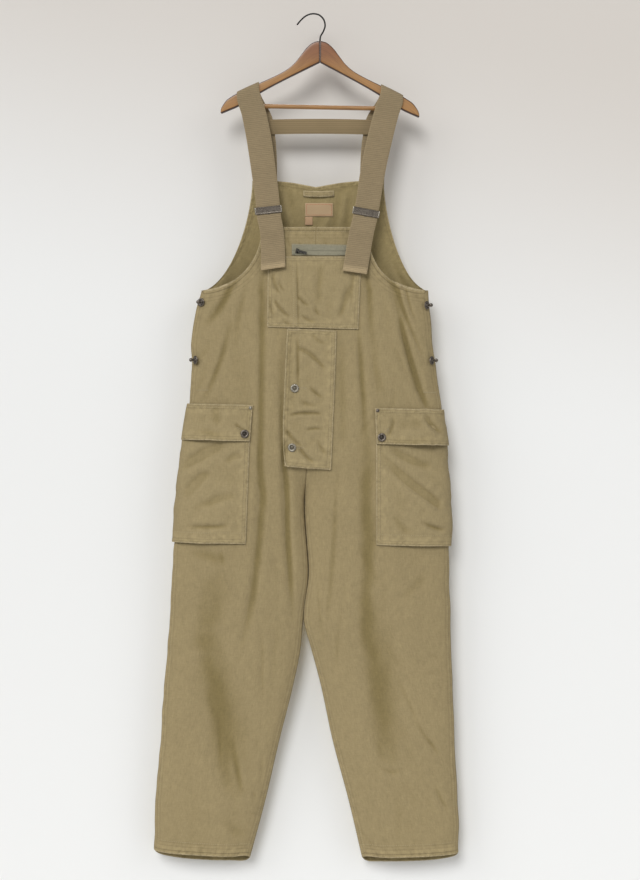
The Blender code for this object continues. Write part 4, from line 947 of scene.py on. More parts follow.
laid_patch("bib_pocket", "front", ((-88.0, -487.0), (97.0, -487.0), (-89.0, -627.5), (91.0, -632.0)),
           lift_over(0), TWILL_WARM, "twill", full=4.0)
laid_patch("fly_flap", "front", ((-50.0, -630.0), (48.0, -634.5), (-59.0, -901.0), (37.0, -910.0)),
           lift_over(0), TWILL_WARM, "twill", full=3.4, free=flap_free)

# %% [markdown]
# ## Cargo pockets
# The thigh pockets run round the outseam from the front of the leg to its back. Their near edges are
# found on the front half of the side's grid and their far edges on the back half, and the rows between
# follow the cloth round. The bag is full at the bottom, and the flap's foot swings clear of it.

# %% Bags and flaps of the cargo pockets
def bag_free(u, v):
    """A bag stands a little off the leg towards its foot."""
    return (2.5 + 4.5 * np.exp(-((u - 0.25) / 0.2) ** 2)) * ease((v - 0.6) / 0.4) * np.sin(math.pi * u) ** 0.4


def foot_free(middle, height):
    """A flap's foot stands off the bag below it, most at a share middle of the way round."""
    return lambda u, v: height * ease((v - 0.35) / 0.65) * np.exp(-((u - middle) / 0.2) ** 2)


CARGO = {
    # front x at top and bottom, back x, z at the front edge and at the side for the top and for the bottom,
    # fullness, layers below and how it stands off
    "cargo_pocket_right": (-121.0, -131.5, -196.0, -787.0, -784.0, -1057.0, -1055.0, 2.6, 0, bag_free),
    "cargo_pocket_left": (125.5, 127.0, 208.0, -793.0, -796.0, -1059.0, -1062.0, 2.6, 0, bag_free),
    "cargo_flap_right": (-117.0, -123.0, -196.0, -782.0, -779.0, -854.0, -851.0, 2.0, 1,
                         foot_free(0.26, 9.0)),
    "cargo_flap_left": (123.0, 127.0, 208.0, -788.0, -791.0, -859.0, -862.0, 2.0, 1,
                        foot_free(0.28, 15.0)),
}
# the way round a cargo piece, over twice the way from its front edge to the side seen from the front
ROUND_SHARE = 1.35
for name, (top_x, low_x, back_x, top_z, top_side, low_z, low_side, full, layers, free) in CARGO.items():
    half = "right" if top_x < 0 else "left"
    sheet = SHEETS[half]
    seam_column, last_column = (sheet[0].shape[1] - 1) // 2, sheet[0].shape[1] - 1
    side_reach = abs(float(along(f"{half}_side", np.array(top_z)))) - abs(top_x)
    v = spread(round((top_z - low_z) / CELL))[:, None]
    level = top_z + (low_z - top_z) * v
    row, near = find(sheet, top_x + (low_x - top_x) * v, level, 0, seam_column)
    _, far = find(sheet, back_x, level, seam_column, last_column)
    u = spread(round(ROUND_SHARE * side_reach * 2 / CELL))[None, :]
    column = near + (far - near) * u
    row = row + 0 * column
    levels = sheet[0][:, seam_column, 2]
    for _ in range(3):
        reach = (np.abs(at(sheet[0], row, column)[..., 0]) - abs(top_x)) / side_reach
        z = (top_z + (top_side - top_z) * reach) * (1 - v) + (low_z + (low_side - low_z) * reach) * v
        row = np.interp(-z, -levels, np.arange(len(levels), dtype=float))
    laid(name, sheet, row, column, lift_over(layers), TWILL_WARM, "twill", full=full, free=free)

# %% [markdown]
# ## Zip tape, label, size tab and hanging loop
# The bib's zipped pocket shows its tape between the bib and the patch pocket's top edge. The label, the
# tab and the loop are sewn on the inside of the back bib, so they are moved inwards instead.

# %% Small flat pieces
laid_patch("zip_tape", "front", ((-41.0, -461.0), (70.0, -463.0), (-41.0, -484.0), (70.0, -484.5)),
           lift_over(0), TAPE, "zip_tape", wall=1.0)
laid_patch("label", "back", ((-15.0, -375.0), (41.0, -375.0), (-15.0, -402.0), (41.0, -402.0)),
           -lift_over(0), LABEL, "label", wall=0.9)
laid_patch("size_tab", "back", ((-15.0, -402.6), (0.0, -402.6), (-15.0, -419.0), (0.0, -419.0)),
           -lift_over(0), TAB, "label", wall=0.9)

LOOP_X, LOOP_Z, LOOP_HALF, LOOP_HEIGHT = 12.5, -350.0, 31.0, 12.0
row, column = find(SHEETS["back"], np.array([LOOP_X]), np.array([LOOP_Z - LOOP_HEIGHT / 2]))
bib_y = at(SHEETS["back"][0], row, column)[0, 1]
t = (2 * spread(22) - 1)[None, :]
low = LOOP_HEIGHT * spread(6)[:, None]
stand = 1.0 + 2.6 * np.clip(1 - t ** 4, 0, 1)
place = np.stack(np.broadcast_arrays(LOOP_X + LOOP_HALF * t, bib_y - stand - LAYER / 2 - LAY_GAP,
                                     LOOP_Z - low - 1.5 * (1 - t ** 2)), axis=-1)
shell("hanging_loop", place, np.broadcast_to((0.0, -1.0, 0.0), place.shape), TWILL_WARM, "twill", wall=1.6)

# %% [markdown]
# ## Straps
# Each shoulder strap is 50 mm webbing, sewn to the back bib, carried over the hanger's arm and down
# through the buckle, with a free tail. It is a ribbon through stations that give its two edges; a smooth
# curve through them keeps the webbing from kinking. The tail's end is folded over once, so its wall is
# double there.

# %% Ribbon through stations
STRAPS = {
    # outer_x, outer_z, inner_x, inner_z, depth
    "right": {"back": ((-119.0, -369.0, -71.0, -363.0, 18.6), (-120.0, -333.0, -71.0, -327.0, 16.6),
                       (-124.0, -246.0, -75.0, -240.0, 12.5), (-128.0, -216.0, -80.0, -207.0, 10.7)),
              "over": (-151.0, -107.0),
              "front": ((-141.0, -203.0, -93.0, -195.0, -9.6), (-119.0, -335.0, -71.0, -327.0, -16.3),
                        (-113.0, -380.0, -65.5, -375.0, -21.2), (-110.5, -407.0, -63.0, -402.0, -21.2),
                        (-104.0, -440.0, -57.5, -433.0, -25.6), (-102.8, -455.0, -56.0, -448.0, -24.2),
                        (-102.0, -515.5, -53.3, -508.5, -36.0))},
    "left": {"back": ((143.0, -369.0, 94.0, -366.0, 18.6), (144.0, -333.0, 95.0, -331.0, 16.6),
                      (149.0, -246.0, 101.0, -240.0, 12.5), (155.0, -218.0, 107.0, -209.0, 10.7)),
             "over": (181.0, 137.0),
             "front": ((172.0, -203.0, 124.0, -192.0, -9.6), (144.0, -323.0, 96.0, -312.0, -16.3),
                       (133.5, -386.0, 86.0, -377.0, -21.2), (128.5, -413.0, 81.0, -404.0, -21.2),
                       (122.0, -441.0, 74.0, -433.0, -25.4), (119.5, -455.0, 71.2, -447.0, -24.4),
                       (108.0, -523.0, 59.5, -516.0, -36.0))},
}
WEB = 1.5
ARM_JOINT_X = 15.0
ARM_TILT = math.tan(math.radians(-1.15))
ARM_THICKNESS = 12.0
ARM_EDGE = 3.0
ARM_UPPER = np.array(((0.0, -53.0), (13.0, -56.5), (25.0, -66.0), (38.0, -82.5), (51.0, -99.0),
                      (66.0, -112.0), (88.0, -124.5), (121.0, -140.0), (166.0, -161.5), (187.0, -176.0),
                      (198.0, -192.0)))
ARM_LOWER = np.array(((199.0, -203.0), (161.0, -186.0), (116.0, -157.5), (0.0, -96.0)))
# the bend clears the corner of the arm's section, which is rounded, by 1 mm
BEND_RADIUS = math.sqrt(2) * (ARM_THICKNESS / 2 - ARM_EDGE) + ARM_EDGE + 1.0 + WEB / 2


def edge_pairs(rows):
    """The outer and the inner edge as x, y, z, from rows of a strap's table."""
    return [((row[0], row[4], row[1]), (row[2], row[4], row[3])) for row in rows]


def ribbon_stations(table):
    """Both edges at each station: up the back, half a circle over the arm, and down the front."""
    bend = []
    for turn in np.linspace(0, math.pi, 13):
        edges = []
        for x in table["over"]:
            out = abs(x - ARM_JOINT_X)
            top = float(np.interp(out, *ARM_UPPER.T)) + ARM_TILT * math.copysign(out, x - ARM_JOINT_X)
            centre = top - ARM_THICKNESS / 2
            edges.append((x, BEND_RADIUS * math.cos(turn), centre + BEND_RADIUS * math.sin(turn)))
        bend.append(edges)
    return np.array(edge_pairs(table["back"]) + bend + edge_pairs(table["front"]))


def smooth_path(points, step):
    """A curve through points, arrays of any shape: cubics whose slopes come from the neighbours and whose
    parameter is the distance between the points, sampled about every step."""
    gaps = np.linalg.norm(np.diff(points, axis=0).reshape(len(points) - 1, -1, 3).mean(1), axis=1)
    where = np.concatenate(([0.0], np.cumsum(gaps)))
    slopes = np.gradient(points, where, axis=0)
    s = np.linspace(0, where[-1], max(4, round(where[-1] / step)) + 1)
    k = np.clip(np.searchsorted(where, s, side="right") - 1, 0, len(where) - 2)
    gap = gaps[k].reshape(-1, *([1] * (points.ndim - 1)))
    t = (s - where[k]).reshape(gap.shape) / gap
    return cubic(t, gap, points[k], points[k + 1], slopes[k], slopes[k + 1])


def ribbon(name, edges, material, facing, across=12, fold=0.0):
    """A webbing shell between two edge curves, whose outer side faces along +Y or -Y at its start. The
    middle of its width bows a hair, as webbing does. Over a length fold at its end it lies double."""
    u = spread(across)[None, :, None]
    place = edges[:, :1] * (1 - u) + edges[:, 1:] * u
    normal = outward(place, 1.0)
    normal = normal * np.sign(normal[0, 0, 1] * facing)
    place = place + normal * (0.35 * np.sin(math.pi * u))
    run = lengths(place)[1]
    folded = ease((fold + 0.8 - (run[-1:] - run)) / 1.6) if fold else 0.0 * run
    shell(name, place, normal, material, "webbing", WEB * (1 + 1.5 * folded), turn=0.7, folded=folded)


for name, table in STRAPS.items():
    edges = smooth_path(ribbon_stations(table), 3.0)
    first, last = edges[1] - edges[0], edges[-1] - edges[-2]
    # thin rows at both ends, where the rim turns over
    edges = np.stack((edges[0], edges[0] + 0.15 * first, *edges[1:-1],
                      *(edges[-1] - share * last for share in (0.5, 0.12, 0.0))))
    ribbon(f"strap_{name}", edges, STRAP_WEB, 1.0, fold=12.0)

# %% Cross strap behind the hanger
CROSS_X, CROSS_RUN, CROSS_TOP, CROSS_HEIGHT, CROSS_Y = -90.0, 210.0, -208.5, 30.0, 7.9
u = spread(60)
x = CROSS_X + CROSS_RUN * u
top = CROSS_TOP - 0.5 * u + 1.6 * np.sin(math.pi * u)
edges = [np.stack((x, 0 * x + CROSS_Y, top - drop), axis=-1) for drop in (0.0, CROSS_HEIGHT)]
ribbon("cross_strap", np.stack(edges, axis=1), CROSS_WEB, -1.0, across=8)

# %% [markdown]
# ## Anchors
# A short piece of the same webbing is sewn behind the bib's top edge, rises behind the strap and turns
# round the buckle's rear bar. Only its sides and its turn show.

# %% Anchors round the buckles' rear bars
BUCKLE_LEVELS = {"right": -394.0, "left": -398.5}
WEB_GAP = 0.4
BAR_RADIUS = 1.2
BAR_OFFSET = WEB / 2 + WEB_GAP + WEB + WEB_GAP + BAR_RADIUS
BAR_BEND = BAR_OFFSET - (WEB + WEB_GAP)
ANCHOR_LIFT = 2.9
ANCHOR_INSET = 0.05


def strap_at(name, level):
    """The outer and the inner edge of a strap's front where the middle of its width is at a level."""
    rows = np.array(edge_pairs(STRAPS[name]["front"]))
    return [sampled([-level], -rows[:, :, 2].mean(1), rows[:, k])[0] for k in (0, 1)]


for name, level in BUCKLE_LEVELS.items():
    bar_y = float(np.mean([edge[1] for edge in strap_at(name, level)])) + BAR_OFFSET
    rows = [[(edge[0], bar_y + BAR_BEND, edge[2]) for edge in strap_at(name, level - below)]
            for below in (16.0, 8.0, 0.0)]
    for turn in np.linspace(0.3, math.pi, 7):
        rows.append([(edge[0], bar_y + BAR_BEND * math.cos(turn), edge[2] + BAR_BEND * math.sin(turn))
                     for edge in strap_at(name, level)])
    rows.append([(edge[0], bar_y - BAR_BEND, edge[2]) for edge in strap_at(name, level - 16.0)])
    for below in (-2.0, 20.0, 38.0):
        edges = np.array(strap_at(name, BIB_TOP - below))
        row, column = find(SHEETS["front"], edges[:, 0] * 0.8, np.minimum(edges[:, 2], BIB_TOP - 2.0))
        edges[:, 1] = at(SHEETS["front"][0], row, column)[:, 1] - ANCHOR_LIFT
        rows.append(edges)
    grid = np.array(rows)
    inset = ANCHOR_INSET * (grid[:, 1] - grid[:, 0])
    edges = smooth_path(np.stack((grid[:, 0] + inset, grid[:, 1] - inset), axis=1), 2.0)
    ribbon(f"anchor_{name}", edges, STRAP_WEB, 1.0, across=8)

# %% [markdown]
# ## Buttons, rivets and studs
# These are turned or stamped round pieces, so each is a profile carried round an axis. A donut button has
# a rolled rim, a hollow and a dome in the middle; a stud has a ring on the cloth and a ball on a neck,
# which the back panel's loop would slip over.

# %% Turned pieces
PROFILES = {
    # radius and height from the middle of the top down to the foot
    "button": ((0.0, 1.5), (0.9, 1.45), (1.6, 1.1), (2.2, 0.8), (3.0, 0.7), (3.7, 0.9), (4.1, 1.9),
               (4.5, 2.5), (5.2, 2.75), (6.6, 2.8), (7.6, 2.6), (8.3, 2.0), (8.5, 1.2), (8.0, 0.4),
               (7.2, 0.1), (0.0, 0.1)),
    "rivet": ((0.0, 1.7), (0.9, 1.65), (1.8, 1.4), (2.7, 0.95), (3.3, 0.5), (3.5, 0.2), (3.3, 0.05),
              (0.0, 0.05)),
    "stud": ((0.0, 14.6), (1.2, 14.4), (2.4, 13.8), (3.4, 12.6), (3.8, 11.0), (3.5, 9.6), (2.6, 8.3),
             (1.8, 7.2), (1.7, 5.0), (1.7, 2.6), (2.4, 1.6), (3.4, 1.5), (4.6, 2.0), (5.6, 2.8), (6.4, 3.0),
             (7.4, 2.8), (8.1, 2.3), (8.5, 1.2), (8.2, 0.5), (7.4, 0.1), (0.0, 0.1)),
}
# inside this radius the metal is marked hollow
WELL = {"button": 4.2, "rivet": 0.0, "stud": 0.0}
TURNS = 40
STUD_RING = 7.4


def circle(sides, first, second):
    """Ways round a circle from first through second, one circle for each pair of them."""
    turn = np.linspace(0, 2 * math.pi, sides, endpoint=False)[:, None]
    return np.cos(turn) * first[..., None, :] + np.sin(turn) * second[..., None, :]


def capped(rings, middles=None, flip=False):
    """Points and faces of rings joined into a tube, with a point in the middle of each end. Flip turns
    all the faces over."""
    rows, sides = rings.shape[:2]
    index = np.arange(rows * sides).reshape(rows, sides)
    wrapped = np.concatenate((index, index[:, :1]), axis=1)
    head = np.stack((wrapped[0, :-1], wrapped[0, 1:], np.full(sides, rows * sides)), axis=1)
    tail = np.stack((wrapped[-1, 1:], wrapped[-1, :-1], np.full(sides, rows * sides + 1)), axis=1)
    faces = [cells(wrapped), np.concatenate((head, tail))]
    if flip:
        faces = [group[:, ::-1] for group in faces]
    middles = rings[[0, -1]].mean(1) if middles is None else middles
    return np.concatenate((rings.reshape(-1, 3), middles)), faces


def turned(name, kind, place, axis, material, slot):
    """A profile carried round an axis through place: each ring is the profile's radius times a circle.
    The two ends of the profile lie on the axis and close it."""
    profile = np.array(PROFILES[kind])
    axis = axis / np.linalg.norm(axis)
    across = np.cross(axis, (0.0, 0.0, 1.0))
    across /= np.linalg.norm(across)
    rings = profile[1:-1, :1, None] * circle(TURNS, across, np.cross(across, axis))
    rings = rings + profile[1:-1, 1:, None] * axis + place
    points, faces = capped(rings, place + axis * profile[[0, -1], 1:], flip=True)
    hollow = np.append(np.repeat(WELL[kind] > profile[1:-1, 0], TURNS), (False, False))
    add_mesh(f"{name}_turned", points, faces, material, slot, marks={"hollow": hollow}, replaces=(name,))


def on_piece(piece, x, z):
    """Places on a made piece's outer surface at x, z seen from the front, and the outward normals
    there."""
    outer, out = PIECES[piece]
    row, column = find((outer, out), np.atleast_1d(x), np.atleast_1d(z))
    return at(outer, row, column), at(out, row, column)


FIXINGS = {
    "fly_button_top": ("button", NICKEL, "nickel", "fly_flap", -35.0, -749.0),
    "fly_button_bottom": ("button", NICKEL, "nickel", "fly_flap", -40.0, -866.0),
    "cargo_button_right": ("button", DARK, "dark_steel", "cargo_flap_right", -134.0, -839.0),
    "cargo_button_left": ("button", DARK, "dark_steel", "cargo_flap_left", 137.0, -846.0),
    "cargo_rivet_right": ("rivet", NICKEL, "nickel", "cargo_flap_right", -122.5, -787.5),
    "cargo_rivet_left": ("rivet", DARK, "dark_steel", "cargo_flap_left", 129.0, -793.0),
}
for name, (kind, material, slot, piece, x, z) in FIXINGS.items():
    (place,), (facing,) = on_piece(piece, x, z)
    turned(name, kind, place + facing * 0.25, facing, material, slot)

STUDS = {
    # x, z and how many degrees its axis is turned out from the front; a tilted stud's ring needs more room
    "side_stud_right_top": (-221.0, -577.0, -30.0), "side_stud_right_bottom": (-230.0, -692.0, -58.0),
    "side_stud_left_top": (225.5, -583.0, 52.0), "side_stud_left_bottom": (234.5, -693.0, 58.0),
}
for name, (x, z, turn) in STUDS.items():
    (place,), (facing,) = on_piece("front_right" if x < 0 else "front_left", x, z)
    axis = np.array((math.sin(math.radians(turn)), -math.cos(math.radians(turn)), 0.0))
    tilt = math.sqrt(max(0.0, 1 - float(axis @ facing) ** 2))
    turned(name, "stud", place + facing * (0.3 + STUD_RING * tilt), axis, DARK, "dark_steel")
print("round pieces", len(FIXINGS) + len(STUDS))

# %% [markdown]
# ## Buckles
# Each buckle is a stamped frame: a face plate with rolled long edges in front of the strap, a round post
# at each end and a bar behind. The face has a low rope pattern between two ribs, made by moving the
# plate's own points.

# %% Buckle plates, posts and bars
def unit(ways):
    """Ways at length 1."""
    return ways / np.linalg.norm(ways, axis=-1, keepdims=True)


def squared(value, power):
    """A sine or cosine raised to a power below 1 with its sign kept, which makes a circle squarer."""
    return np.sign(value) * np.abs(value) ** power


def tube(centres, radius, sides, up):
    """Rings of a round tube along centres with domed ends, where rings move out as a sine and shrink as a
    cosine."""
    centres = np.array(centres)
    turns = np.array((1.45, 1.1, 0.7, 0.35))
    dome = 0.6 * radius * np.sin(turns)[:, None]
    head = centres[0] - unit(centres[1] - centres[0]) * dome
    tail = centres[-1] + unit(centres[-1] - centres[-2]) * dome[::-1]
    shrink = np.concatenate((np.cos(turns), np.ones(len(centres)), np.cos(turns[::-1])))
    centres = np.concatenate((head, centres, tail))
    ahead = unit(np.gradient(centres, axis=0))
    side = unit(np.cross(ahead, up))
    return centres[:, None] + circle(sides, side, np.cross(side, ahead)) * (radius * shrink)[:, None, None]


def joined(parts):
    """Points and faces of several parts as one."""
    starts = np.cumsum([0] + [len(points) for points, _ in parts])
    return (np.concatenate([points for points, _ in parts]),
            [group + start for (_, faces), start in zip(parts, starts) for group in faces])


BUCKLE_LENGTH, BUCKLE_HEIGHT, PLATE = 54.0, 14.5, 1.6
for name, level in BUCKLE_LEVELS.items():
    edges = np.array(strap_at(name, level))
    low, high = edges[edges[:, 0].argsort()]
    centre, right = edges.mean(0), unit((high - low) * (1.0, 0.0, 1.0))
    front = np.array((0.0, -1.0, 0.0))
    up = np.cross(front, right)
    s = np.linspace(-1, 1, 150)[:, None]
    turn = np.linspace(0, 2 * math.pi, 56, endpoint=False)[None, :]
    share, thick = squared(np.sin(turn), 0.5), squared(np.cos(turn), 0.35)
    rim = 0.45 * np.exp(-((np.abs(share) - 0.82) / 0.09) ** 2)
    rope = 0.16 * np.sin(s * 62 + 5.0 * share) * np.exp(-(share / 0.55) ** 4)
    relief = ease((thick - 0.3) / 0.4) * (rim + rope)
    plate = (centre + (s * (BUCKLE_LENGTH / 2 - 1.4))[..., None] * right
             + (share * BUCKLE_HEIGHT / 2)[..., None] * up
             + (WEB / 2 + WEB_GAP + PLATE / 2 * (1 + thick) + relief)[..., None] * front)
    bar = [centre + right * k * (BUCKLE_LENGTH / 2 - 1.0) - front * BAR_OFFSET for k in (-1, -0.3, 0.3, 1)]
    tongue = [centre + right * k * 2.4 + front * 0.9 - up * (BUCKLE_HEIGHT / 2 + 0.6) for k in (-1, 0, 1)]
    stamped = [plate, tube(bar, BAR_RADIUS, 14, up), tube(tongue, 0.8, 10, up)]
    posts = []
    for k in (-1, 1):
        post = centre + right * k * (BUCKLE_LENGTH / 2 - 1.2) + front * 1.9
        posts.append(tube([post + up * height for height in (-6.4, -2.0, 2.0, 6.4)], 1.35, 16, front))
        arm = centre + right * k * (BUCKLE_LENGTH / 2 - 0.9)
        posts.append(tube([arm + front * depth for depth in (1.2, -1.5, -BAR_OFFSET)], 0.9, 12, up))
    add_mesh(f"buckle_{name}_stamped", *joined([capped(rings) for rings in stamped]), STEEL, "steel",
             replaces=(f"buckle_{name}",))
    # the posts and end arms are paler metal: polished, and a painted highlight at the buckle's ends
    add_mesh(f"buckle_{name}_posts", *joined([capped(rings) for rings in posts]), POLISHED_AND_HIGHLIGHT_METAL, "steel")
print("buckles", len(BUCKLE_LEVELS))

# %% [markdown]
# ## Hanger
# Two arms of flat bent wood meet at a joint under the hook, with a round bar between them. An arm is a
# closed section carried outwards: at each station it spans from the lower outline to the upper one, with
# flat faces and small round edges. The distance to the long edges and to the joint is kept for the
# material, which darkens the joint and paints shade along the long edges.

# %% Arms, bar and hook
STATIONS, AROUND, BAR_SIDES = 90, 48, 24
TIP = 4.0


def outline_at(points, count):
    """count places along an outline, evenly spaced, on a smooth curve through its points, and the run
    there."""
    path = smooth_path(np.insert(points, 1, 0.0, axis=1)[:, None], 1.0)[:, 0]
    where = distances(path)
    run = np.linspace(0, where[-1], count)
    return sampled(run, where, path[:, ::2]), run


def with_ends(values):
    """Values of a tube's points, and those of its two end points."""
    return np.concatenate((values, values[:1], values[-1:]))


for side, name in SIDES:
    upper, run = outline_at(ARM_UPPER, STATIONS)
    lower, _ = outline_at(ARM_LOWER[::-1], STATIONS)
    upper[:, 0] = np.maximum(upper[:, 0], SEAM_GAP / 2)
    lower[:, 0] = np.maximum(lower[:, 0], SEAM_GAP / 2)
    turn = np.linspace(0, 2 * math.pi, AROUND, endpoint=False)
    rise, depth = squared(np.sin(turn), 0.28), squared(np.cos(turn), 0.28) * ARM_THICKNESS / 2
    # the tip narrows as a quarter circle does
    end = np.sqrt(1 - np.clip((run - run[-1] + TIP) / TIP, 0, 1) ** 2)[:, None]
    reach = (rise * (0.55 + 0.45 * end))[..., None]
    places = (upper + lower)[:, None] / 2 + (upper - lower)[:, None] / 2 * reach
    rings = np.stack((ARM_JOINT_X + side * places[..., 0], depth * (0.35 + 0.65 * end),
                      places[..., 1] + ARM_TILT * side * places[..., 0]), axis=-1)
    points, faces = capped(rings, flip=side > 0)
    half = np.linalg.norm(upper - lower, axis=1)[:, None] / 2
    station = np.arange(STATIONS)[:, None]
    inset = np.minimum((1 - np.abs(rise)) * half, np.where(station < 2, station * 2.6, 99.0))
    uv = np.stack(np.broadcast_arrays(run[:, None] + side * 400, rise * half + 3 * depth), axis=-1)
    add_mesh(f"hanger_arm_{name}_shaped", points, faces, WOOD, "wood", with_ends(uv.reshape(-1, 2)),
             {"edge": np.append(inset, (0.0, 0.0))}, (f"hanger_arm_{name}",))

Y_WAY = np.array((0.0, 1.0, 0.0))
bar = [(ARM_JOINT_X + k * 150.0, 0.0, -185.5 + ARM_TILT * k * 150.5) for k in np.linspace(-1, 1, 40)]
rings = tube(bar, 4.4, BAR_SIDES, Y_WAY)
points, faces = capped(rings)
uv = np.stack(np.broadcast_arrays(rings[..., 0], np.arange(BAR_SIDES) * 1.15), axis=-1)
add_mesh("hanger_bar_turned", points, faces, WOOD, "wood", with_ends(uv.reshape(-1, 2)),
         {"edge": np.full(len(points), 3.0)}, ("hanger_bar",))

HOOK = ((-30.5, -20.0), (-22.5, -10.5), (-12.5, -2.3), (0.0, 1.6), (13.5, -1.0), (22.3, -10.0), (25.2, -22.0),
        (21.5, -34.0), (16.0, -44.0), (15.0, -52.4))
wire = smooth_path(np.array([[(x, 0.0, z)] for x, z in HOOK]), 1.5)[:, 0]
add_mesh("hanger_hook_wire", *capped(tube(wire, 1.6, 16, Y_WAY)), BLACK, "dark_steel",
         replaces=("hanger_hook",))
print("hanger made")

# %% [markdown]
# ## Stitches
# A topstitched seam reads as a row of small beads of thread, each sunk at its ends. Thousands of them are
# needed, so a bead has only a few faces, and all beads of a piece are placed at once: one small shape,
# carried to every place with its own direction and normal.

# %% Beads of thread
# place along the bead, radius and height above the cloth
BEAD_RINGS = np.array(((-0.5, 0.25, -0.3), (-0.3, 0.8, 0.1), (0.3, 0.8, 0.1), (0.5, 0.25, -0.3)))
BEAD_SIDES = 4


def beads(places, ways, outs, length, thick):
    """Points and faces of one bead per place: square rings along each bead's own way, whose radius and
    height above the cloth come from the bead's four rings, and which smooth shading rounds off."""
    ways = unit(ways)
    ring = circle(BEAD_SIDES, np.cross(outs, ways), outs)
    points = []
    for shift, radius, rise in BEAD_RINGS:
        centre = places + ways * (shift * length) + outs * (rise * thick)
        points.append(centre[:, None] + ring * (radius * thick / 2))
    one = np.arange(len(BEAD_RINGS) * BEAD_SIDES).reshape(-1, BEAD_SIDES)
    quads = cells(np.concatenate((one, one[:, :1]), axis=1))[:, ::-1]
    quads = np.concatenate((quads, one[:1, ::-1], one[-1:]))
    start = np.arange(len(places))[:, None, None] * one.size
    return np.stack(points, axis=1).reshape(-1, 3), [(quads + start).reshape(-1, 4)]


def even(points, outs, pitch):
    """Places a pitch apart along a line of points, with the way there and the normal there."""
    where = distances(points)
    s = np.arange(pitch / 2, where[-1], pitch)
    ways = sampled(s + 0.5, where, points) - sampled(s - 0.5, where, points)
    return sampled(s, where, points), ways, unit(sampled(s, where, outs))


def inset_line(piece, edge, inset, start=0.0, stop=1.0):
    """A line on a piece's outer surface at a distance from one of its edges, from a share start to a
    share stop of the way along it. Where the edge slants the way in is longer, by one over the sine of
    its angle."""
    outer, out = PIECES[piece]
    if edge in ("top", "foot"):
        outer, out = outer.transpose(1, 0, 2), out.transpose(1, 0, 2)
    if edge in ("far", "foot"):
        outer, out = outer[:, ::-1], out[:, ::-1]
    run = lengths(outer)[0]
    along_edge, inward = np.gradient(outer[:, 0], axis=0), outer[:, 2] - outer[:, 0]
    sine = np.linalg.norm(np.cross(along_edge, inward), axis=1) / np.linalg.norm(along_edge, axis=1)
    inset = inset / np.clip(sine / np.linalg.norm(inward, axis=1), 0.25, 1.0)
    column = np.maximum((run <= inset[:, None]).sum(1) - 1, 0)
    row = np.arange(len(outer))
    after = np.minimum(column + 1, outer.shape[1] - 1)
    gap = np.maximum(run[row, after] - run[row, column], 1e-6)
    column = column + (inset - run[row, column]) / gap
    keep = slice(int(start * (len(row) - 1)), int(stop * (len(row) - 1)) + 1)
    return at(outer, row[keep].astype(float), column[keep]), at(out, row[keep].astype(float), column[keep])


def line_on(piece, x0, z0, x1, z1, count=60):
    """A straight line, seen from the front, on a piece's outer surface."""
    t = np.linspace(0, 1, count)
    return on_piece(piece, x0 + (x1 - x0) * t, z0 + (z1 - z0) * t)


def oval(piece, x, z, reach, half, degrees):
    """A closed oval line on a piece, for a buttonhole."""
    t, turn = np.linspace(0, 2 * math.pi, 60), math.radians(degrees)
    a, b = reach * np.cos(t), half * np.sin(t)
    return on_piece(piece, x + a * math.cos(turn) - b * math.sin(turn),
                    z + a * math.sin(turn) + b * math.cos(turn))


def sew(name, lines, material=THREAD, slot="twill", pitch=4.4, length=3.0, thick=1.05, cross=False):
    """One object of beads along several lines. With cross, each bead lies across its line, as in a
    buttonhole."""
    places, ways, outs = (np.concatenate(parts) for parts in zip(*(even(*line, pitch) for line in lines)))
    if cross:
        ways = np.cross(outs, ways)
    add_mesh(name, *beads(places, ways, outs, length, thick), material, slot)
    print(f"{name}: {len(places)} stitches")


# %% Topstitched seams
def share_at(piece, z):
    """The share of the way down a piece at which its middle column reaches a height."""
    levels = PIECES[piece][0][:, PIECES[piece][0].shape[1] // 2, 2]
    return float(np.interp(-z, -levels, np.linspace(0, 1, len(levels))))


SHORT = (0.02, 0.98)
FRONT_SEAMS = (("top", (2.0, 9.0), 0.02, 1.0), ("far", (5.0,), 0.01, VENT_END),
               ("far", (1.8,), 0.01, CORNER_LEVEL), ("far", (12.0, 19.0), VENT_END, 0.995),
               ("near", (12.0, 19.0), CROTCH - 40.0, 0.995), ("near", (3.5,), 0.01, -462.0),
               ("foot", (25.0,), *SHORT))
BACK_SEAMS = (("near", (2.5, 8.5), 0.01, 0.995), ("far", (3.0,), 0.01, 0.995), ("foot", (25.0,), *SHORT),
              ("top", (3.0, 9.0), 0.01, 0.99))
BAG_SEAMS = (("near", (2.2, 8.2)), ("far", (2.2, 8.2)), ("foot", (22.0,), *SHORT))
FLAP_SEAMS = (("top", (2.0, 8.0)), ("near", (2.2,)), ("far", (2.2,)), ("foot", (2.2,)))
SEAMS = {
    # edge, how far in the lines run, and the shares of the edge where they start and stop; a height below 0
    # stands for the share at which the middle column reaches it
    "front_right": FRONT_SEAMS, "front_left": FRONT_SEAMS, "back_right": BACK_SEAMS, "back_left": BACK_SEAMS,
    "bib_pocket": (("near", (2.2,)), ("far", (2.2,)), ("foot", (2.2, 8.7)), ("top", (3.0,))),
    "fly_flap": (("near", (2.0,)), ("far", (2.2, 8.2)), ("foot", (4.0,)), ("top", (2.2,))),
    "cargo_pocket_right": BAG_SEAMS, "cargo_flap_right": FLAP_SEAMS,
    "cargo_pocket_left": BAG_SEAMS, "cargo_flap_left": FLAP_SEAMS,
    "back_bib": (("top", (2.5, 11.5), 0.01, 0.99), ("near", (3.0,)), ("far", (3.0,)), ("foot", (4.0,))),
}
STRAIGHT = {"bib_pocket": ((-39.0, -491.0, -37.0, -628.0), (-33.0, -491.0, -31.0, -628.0)),
            "fly_flap": ((-24.0, -636.0, -25.0, -672.0),)}
